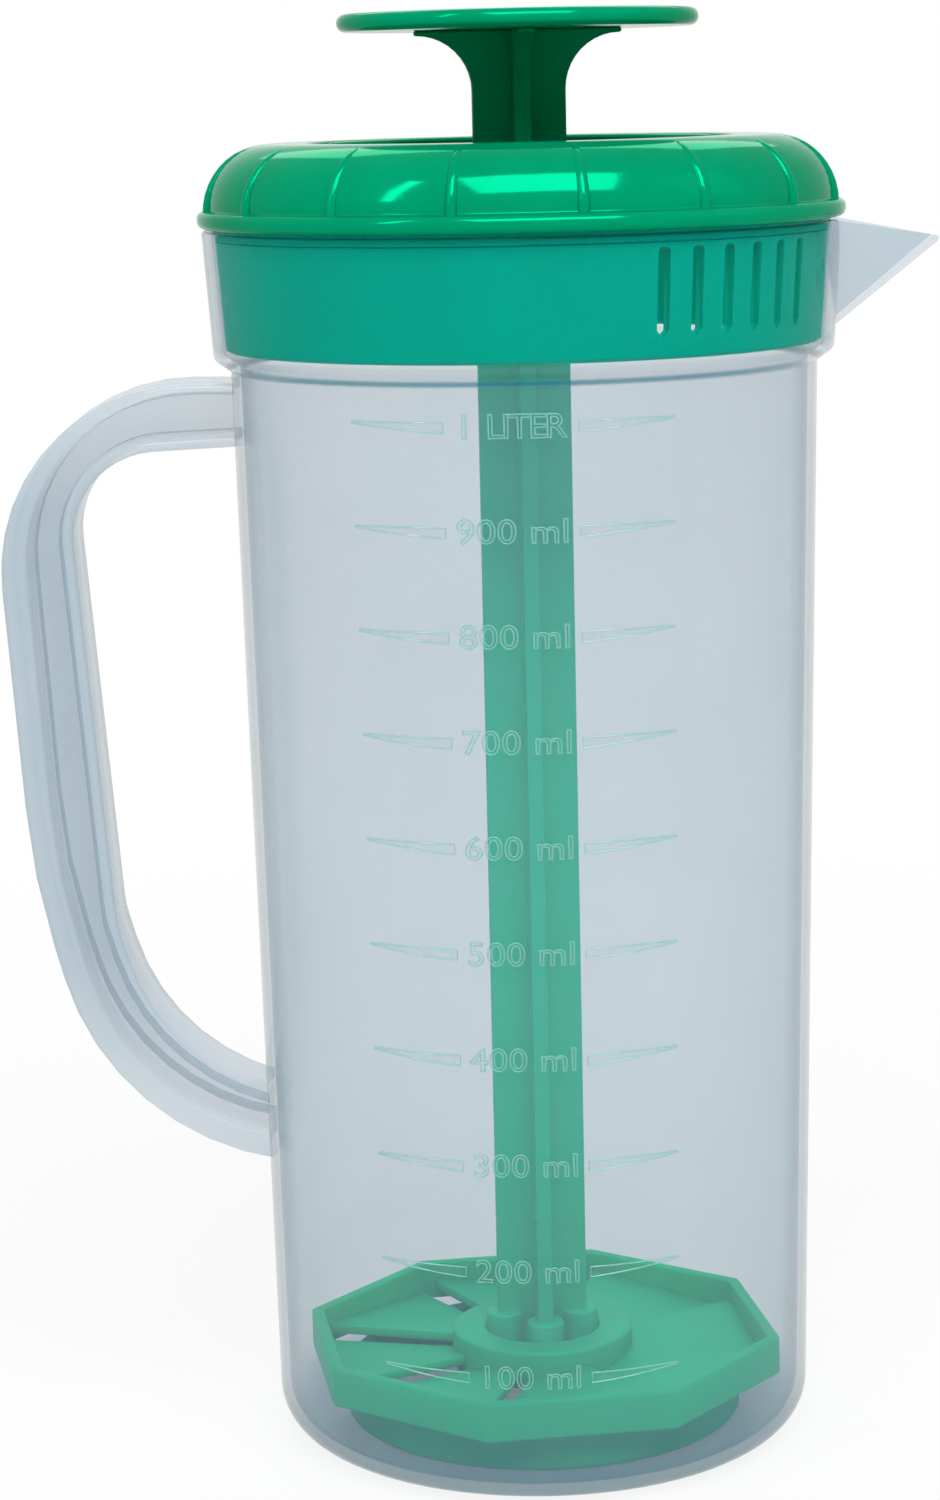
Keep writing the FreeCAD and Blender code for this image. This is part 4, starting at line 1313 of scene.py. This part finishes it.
@dataclass
class Plunger:
    """The knob, the finned shaft and the mixing disc under it."""

    finishes: Finishes
    turned: float = 4.0
    foot: float = 12.2
    knob_low: float = 230.3
    knob_radius: float = 28.7
    knob_thickness: float = 3.3
    knob_crown: float = 0.5
    knob_round: float = 1.37
    fin_half_width: float = 7.45
    fin_thickness: float = 2.6
    flare_half_width: float = 16.5
    flare_round: float = 8.7
    flare_edge: float = 0.8
    lug_reach: float = 6.3
    lug_radius: float = 3.1
    lug_height: float = 6.4
    disc_bottom: float = 9.6
    octagon_radius: float = 40.5
    octagon_turn: float = 31.0
    rim_wall: float = 2.0
    rim_height: float = 6.5
    hub_radius: float = 15.1
    hub_recess: float = 9.5
    hub_height: float = 6.3
    blade_rise: float = 2.0
    blade_keel_rise: float = 1.8
    blade_thickness: float = 1.5
    blade_slit: float = 3.6
    blade_count: int = 8
    ring_radius: float = 33.0
    ring_wall: float = 2.0
    ring_bottom: float = 2.3

    @property
    def half_side(self) -> float:
        """Half the angle that one side of the disc's rim spans."""
        return math.pi / self.blade_count

    @property
    def octagon_inside(self) -> float:
        """The radius of the rim's inner corners."""
        return self.octagon_radius - self.rim_wall / math.cos(self.half_side)

    def make_knob(self) -> None:
        """The flat round push knob."""
        high = self.knob_low + self.knob_thickness
        piece = lathe("knob_disc", [
            (0, self.knob_low), (self.knob_radius, self.knob_low, self.knob_round),
            (self.knob_radius, high - self.knob_crown, self.knob_round), (0, high)],
            self.finishes.knob, 160, closed=False)
        place(piece, Body.MIXER, Slot.PLUNGER, self.finishes.knob, "push_knob")

    def make_shaft(self) -> None:
        """Two crossed fins that flare under the knob, with round pads at the foot."""
        fin, flare, half = self.fin_half_width, self.flare_half_width, self.fin_thickness / 2
        arch, foot, top = self.knob_low - self.flare_edge, self.foot, self.foot + self.lug_height
        outline = [
            (-fin, foot), (fin, foot), (fin, arch, self.flare_round), (flare, arch),
            (flare, self.knob_low), (-flare, self.knob_low), (-flare, arch),
            (-fin, arch, self.flare_round)]
        fins = [soften(prism(f"fin_{depth.value}", outline, -half, half, depth), 0.35, 2, 50.0)
                for depth in (Depth.Y, Depth.X)]
        pad = lathe("lug", [(0, foot), (self.lug_radius, foot), (self.lug_radius, top, 0.6),
                            (0, top)], self.finishes.shaft, 32, closed=False)
        pad.data.transform(Matrix.Translation((self.lug_reach * MM, 0, 0)))
        grow(pad, ring_tree, self.finishes.shaft, Count=4, Start=0.0, Step=90.0)
        piece = turn_about_axis(join("shaft_fins", [*fins, pad]), self.turned)
        place(piece, Body.MIXER, Slot.PLUNGER, self.finishes.shaft, "plunger_shaft")

    def make_rim(self) -> None:
        """The eight sided rim of the mixing disc."""
        low, high = self.disc_bottom, self.disc_bottom + self.rim_height
        inner, outer = self.octagon_inside, self.octagon_radius
        piece = lathe("disc_rim", [
            (inner, low, 0.3), (outer, low, 0.5), (outer, high, 0.6), (inner, high, 0.5)],
            self.finishes.disc, self.blade_count)
        turn_about_axis(piece, self.octagon_turn)
        soften(piece, 0.6, 2, 40.0)
        place(piece, Body.MIXER, Slot.PLUNGER, self.finishes.disc, "mixer_rim")

    def make_hub(self) -> None:
        """The cup that holds the foot of the shaft."""
        low, high = self.disc_bottom, self.disc_bottom + self.hub_height
        piece = lathe("disc_hub", [
            (0, low), (self.hub_radius, low, 0.3), (self.hub_radius, high, 0.65),
            (self.hub_recess, high, 0.45), (self.hub_recess, self.foot, 0.3), (0, self.foot)],
            self.finishes.disc, 96, closed=False)
        place(piece, Body.MIXER, Slot.PLUNGER, self.finishes.disc, "mixer_hub")

    def make_blades(self) -> None:
        """Pitched blades between hub and rim, with a slit at each corner of the rim."""
        step_angle = 360.0 / self.blade_count
        start, end = self.blade_slit / 2, step_angle - self.blade_slit / 2
        side = self.octagon_inside * math.cos(self.half_side)
        steps, inner, rings = 6, self.hub_radius - 0.3, []
        for step in range(steps + 1):
            share = step / steps
            angle = math.radians(start + (end - start) * share)
            outer = side / math.cos(angle - self.half_side) + 0.1
            low = self.disc_bottom + self.blade_keel_rise * share
            high = self.disc_bottom + self.blade_thickness + self.blade_rise * share
            rings.append([
                (radius * math.cos(angle), radius * math.sin(angle), height)
                for radius, height in ((inner, low), (inner, high), (outer, high), (outer, low))])
        piece = soften(loft("disc_blades", rings, matched=True), 0.25, 2, 50.0)
        grow(piece, ring_tree, self.finishes.disc, Count=self.blade_count,
             Start=self.octagon_turn, Step=step_angle)
        place(piece, Body.MIXER, Slot.PLUNGER, self.finishes.disc, "mixer_blades")

    def make_lower_ring(self) -> None:
        """The round wall that carries the disc over the jug's floor."""
        inner, outer = self.ring_radius - self.ring_wall, self.ring_radius
        piece = lathe("disc_lower_ring", [
            (inner, self.ring_bottom, 0.3), (outer, self.ring_bottom, 0.8),
            (outer, self.disc_bottom), (inner, self.disc_bottom)], self.finishes.disc, 128)
        place(piece, Body.MIXER, Slot.PLUNGER, self.finishes.disc, "lower_ring")

    def build(self) -> None:
        """Makes every piece of the plunger."""
        self.make_knob()
        self.make_shaft()
        self.make_rim()
        self.make_hub()
        self.make_blades()
        self.make_lower_ring()


def seen_share(graph: Graph, share: object) -> Socket:
    """Keeps a share for rays from the camera, a mirror or clear plastic only.

    Args:
        graph: The material's or the world's graph.
        share: The share.

    Returns:
        The share, and 0 for any other light.
    """
    path = graph.node("LightPath").outputs
    seen = graph.sum("MAXIMUM", path["Is Camera Ray"], path["Is Glossy Ray"])
    seen = graph.sum("MAXIMUM", seen, path["Is Transmission Ray"])
    return graph.sum("MULTIPLY", seen, share)


@dataclass
class Studio:
    """The floor, the lights and the camera."""

    camera_place: Triple = (-10.05, -595.95, 221.73)
    pitch: float = 0.1782
    roll: float = -0.0224
    lens: float = 88.6
    sensor: float = 36.0
    daylight: float = 0.26
    aim_height: float = 0.12
    floor_radius: float = 4.0
    floor_drop: float = 0.0003

    def make_camera(self) -> None:
        """The camera at the photograph's viewing angle."""
        camera = stand("camera", bpy.data.cameras.new("camera"))
        camera.data.lens = self.lens
        camera.data.sensor_width = self.sensor
        camera.data.clip_start = 0.01
        camera.matrix_world = (Matrix.Translation(Vector(self.camera_place) * MM)
                               @ Matrix.Rotation(math.pi / 2 - self.pitch, 4, "X")
                               @ Matrix.Rotation(self.roll, 4, "Z"))
        bpy.context.scene.camera = camera

    def make_floor(self) -> None:
        """A pale floor that keeps the pitcher's shadow and reads white beyond it."""
        work = bmesh.new()
        bmesh.ops.create_circle(work, cap_ends=True, radius=self.floor_radius, segments=64)
        mesh = bpy.data.meshes.new("floor")
        work.to_mesh(mesh)
        work.free()
        mesh.transform(Matrix.Translation((0, 0, -self.floor_drop)))
        floor = stand("floor", mesh)
        material, graph = blank_material("pale_floor")
        spot = graph.node("TexCoord").outputs["Object"]
        grain = graph.out("TexNoise", {"Vector": spot, "Scale": 3.0})
        away = graph.out("VectorMath", {0: spot}, operation="LENGTH")
        paint = graph.out("BsdfDiffuse", {
            "Color": (0.86, 0.87, 0.88, 1.0), "Roughness": graph.spread(grain, 0.3, 0.7, 0.4, 0.6)})
        glow = graph.out("Emission", {"Color": WHITE, "Strength": 1.0})
        seen = seen_share(graph, graph.spread(away, 0.10, 0.5, 0.86, 1.0))
        skin = graph.out("MixShader", {0: seen, 1: paint, 2: glow})
        graph.node("OutputMaterial", {"Surface": skin})
        floor.data.materials.append(material)

    def make_world(self) -> None:
        """Even daylight, with white behind the pitcher and in what it mirrors or passes."""
        world = bpy.data.worlds.new("studio")
        bpy.context.scene.world = world
        world.use_nodes = True
        world.node_tree.nodes.clear()
        graph = Graph(world.node_tree)
        strength = graph.out("Mix", {
            "Factor": seen_share(graph, 1.0), "A": self.daylight, "B": 1.0})
        light = graph.out("Background", {"Color": WHITE, "Strength": strength})
        graph.node("OutputWorld", {"Surface": light})

    def make_lamp(self, name: str, azimuth: float, elevation: float, away: float,
                  width: float, height: float, power: float) -> None:
        """Adds a soft box that faces the pitcher.

        Args:
            name: The lamp's name.
            azimuth: Degrees round from the front, positive to the right.
            elevation: Degrees above the horizon.
            away: Distance in metres.
            width: The box's width in metres.
            height: The box's height in metres.
            power: Its power in watts.
        """
        data = bpy.data.lights.new(name, "AREA")
        data.shape = "RECTANGLE"
        data.size, data.size_y = width, height
        data.energy = power
        a, e = math.radians(azimuth), math.radians(elevation)
        way = Vector((math.sin(a) * math.cos(e), -math.cos(a) * math.cos(e), math.sin(e)))
        aim = Vector((0, 0, self.aim_height))
        stand(name, data).matrix_world = (Matrix.Translation(aim + way * away)
                                          @ way.to_track_quat("Z", "Y").to_matrix().to_4x4())

    def build(self) -> None:
        """Sets up the studio."""
        bpy.context.scene.view_settings.view_transform = "Standard"
        self.make_camera()
        self.make_floor()
        self.make_world()
        self.make_lamp("front_box", 9, 50, 1.5, 1.2, 0.8, 17.0)
        self.make_lamp("left_strip", -50, 36, 1.6, 0.12, 0.9, 2.5)
        self.make_lamp("right_box", 75, 30, 1.8, 0.8, 1.0, 0.7)
        self.make_lamp("back_box", 180, 42, 1.8, 1.4, 0.8, 12.0)


def main() -> None:
    """Builds the pitcher and its studio."""
    logging.basicConfig(level=logging.INFO, format="%(name)s: %(message)s")
    finishes = Finishes()
    for group in (Jug(finishes), Lid(finishes), Plunger(finishes), Studio()):
        LOG.info("building %s", type(group).__name__)
        group.build()


if __name__ == "__main__":
    main()
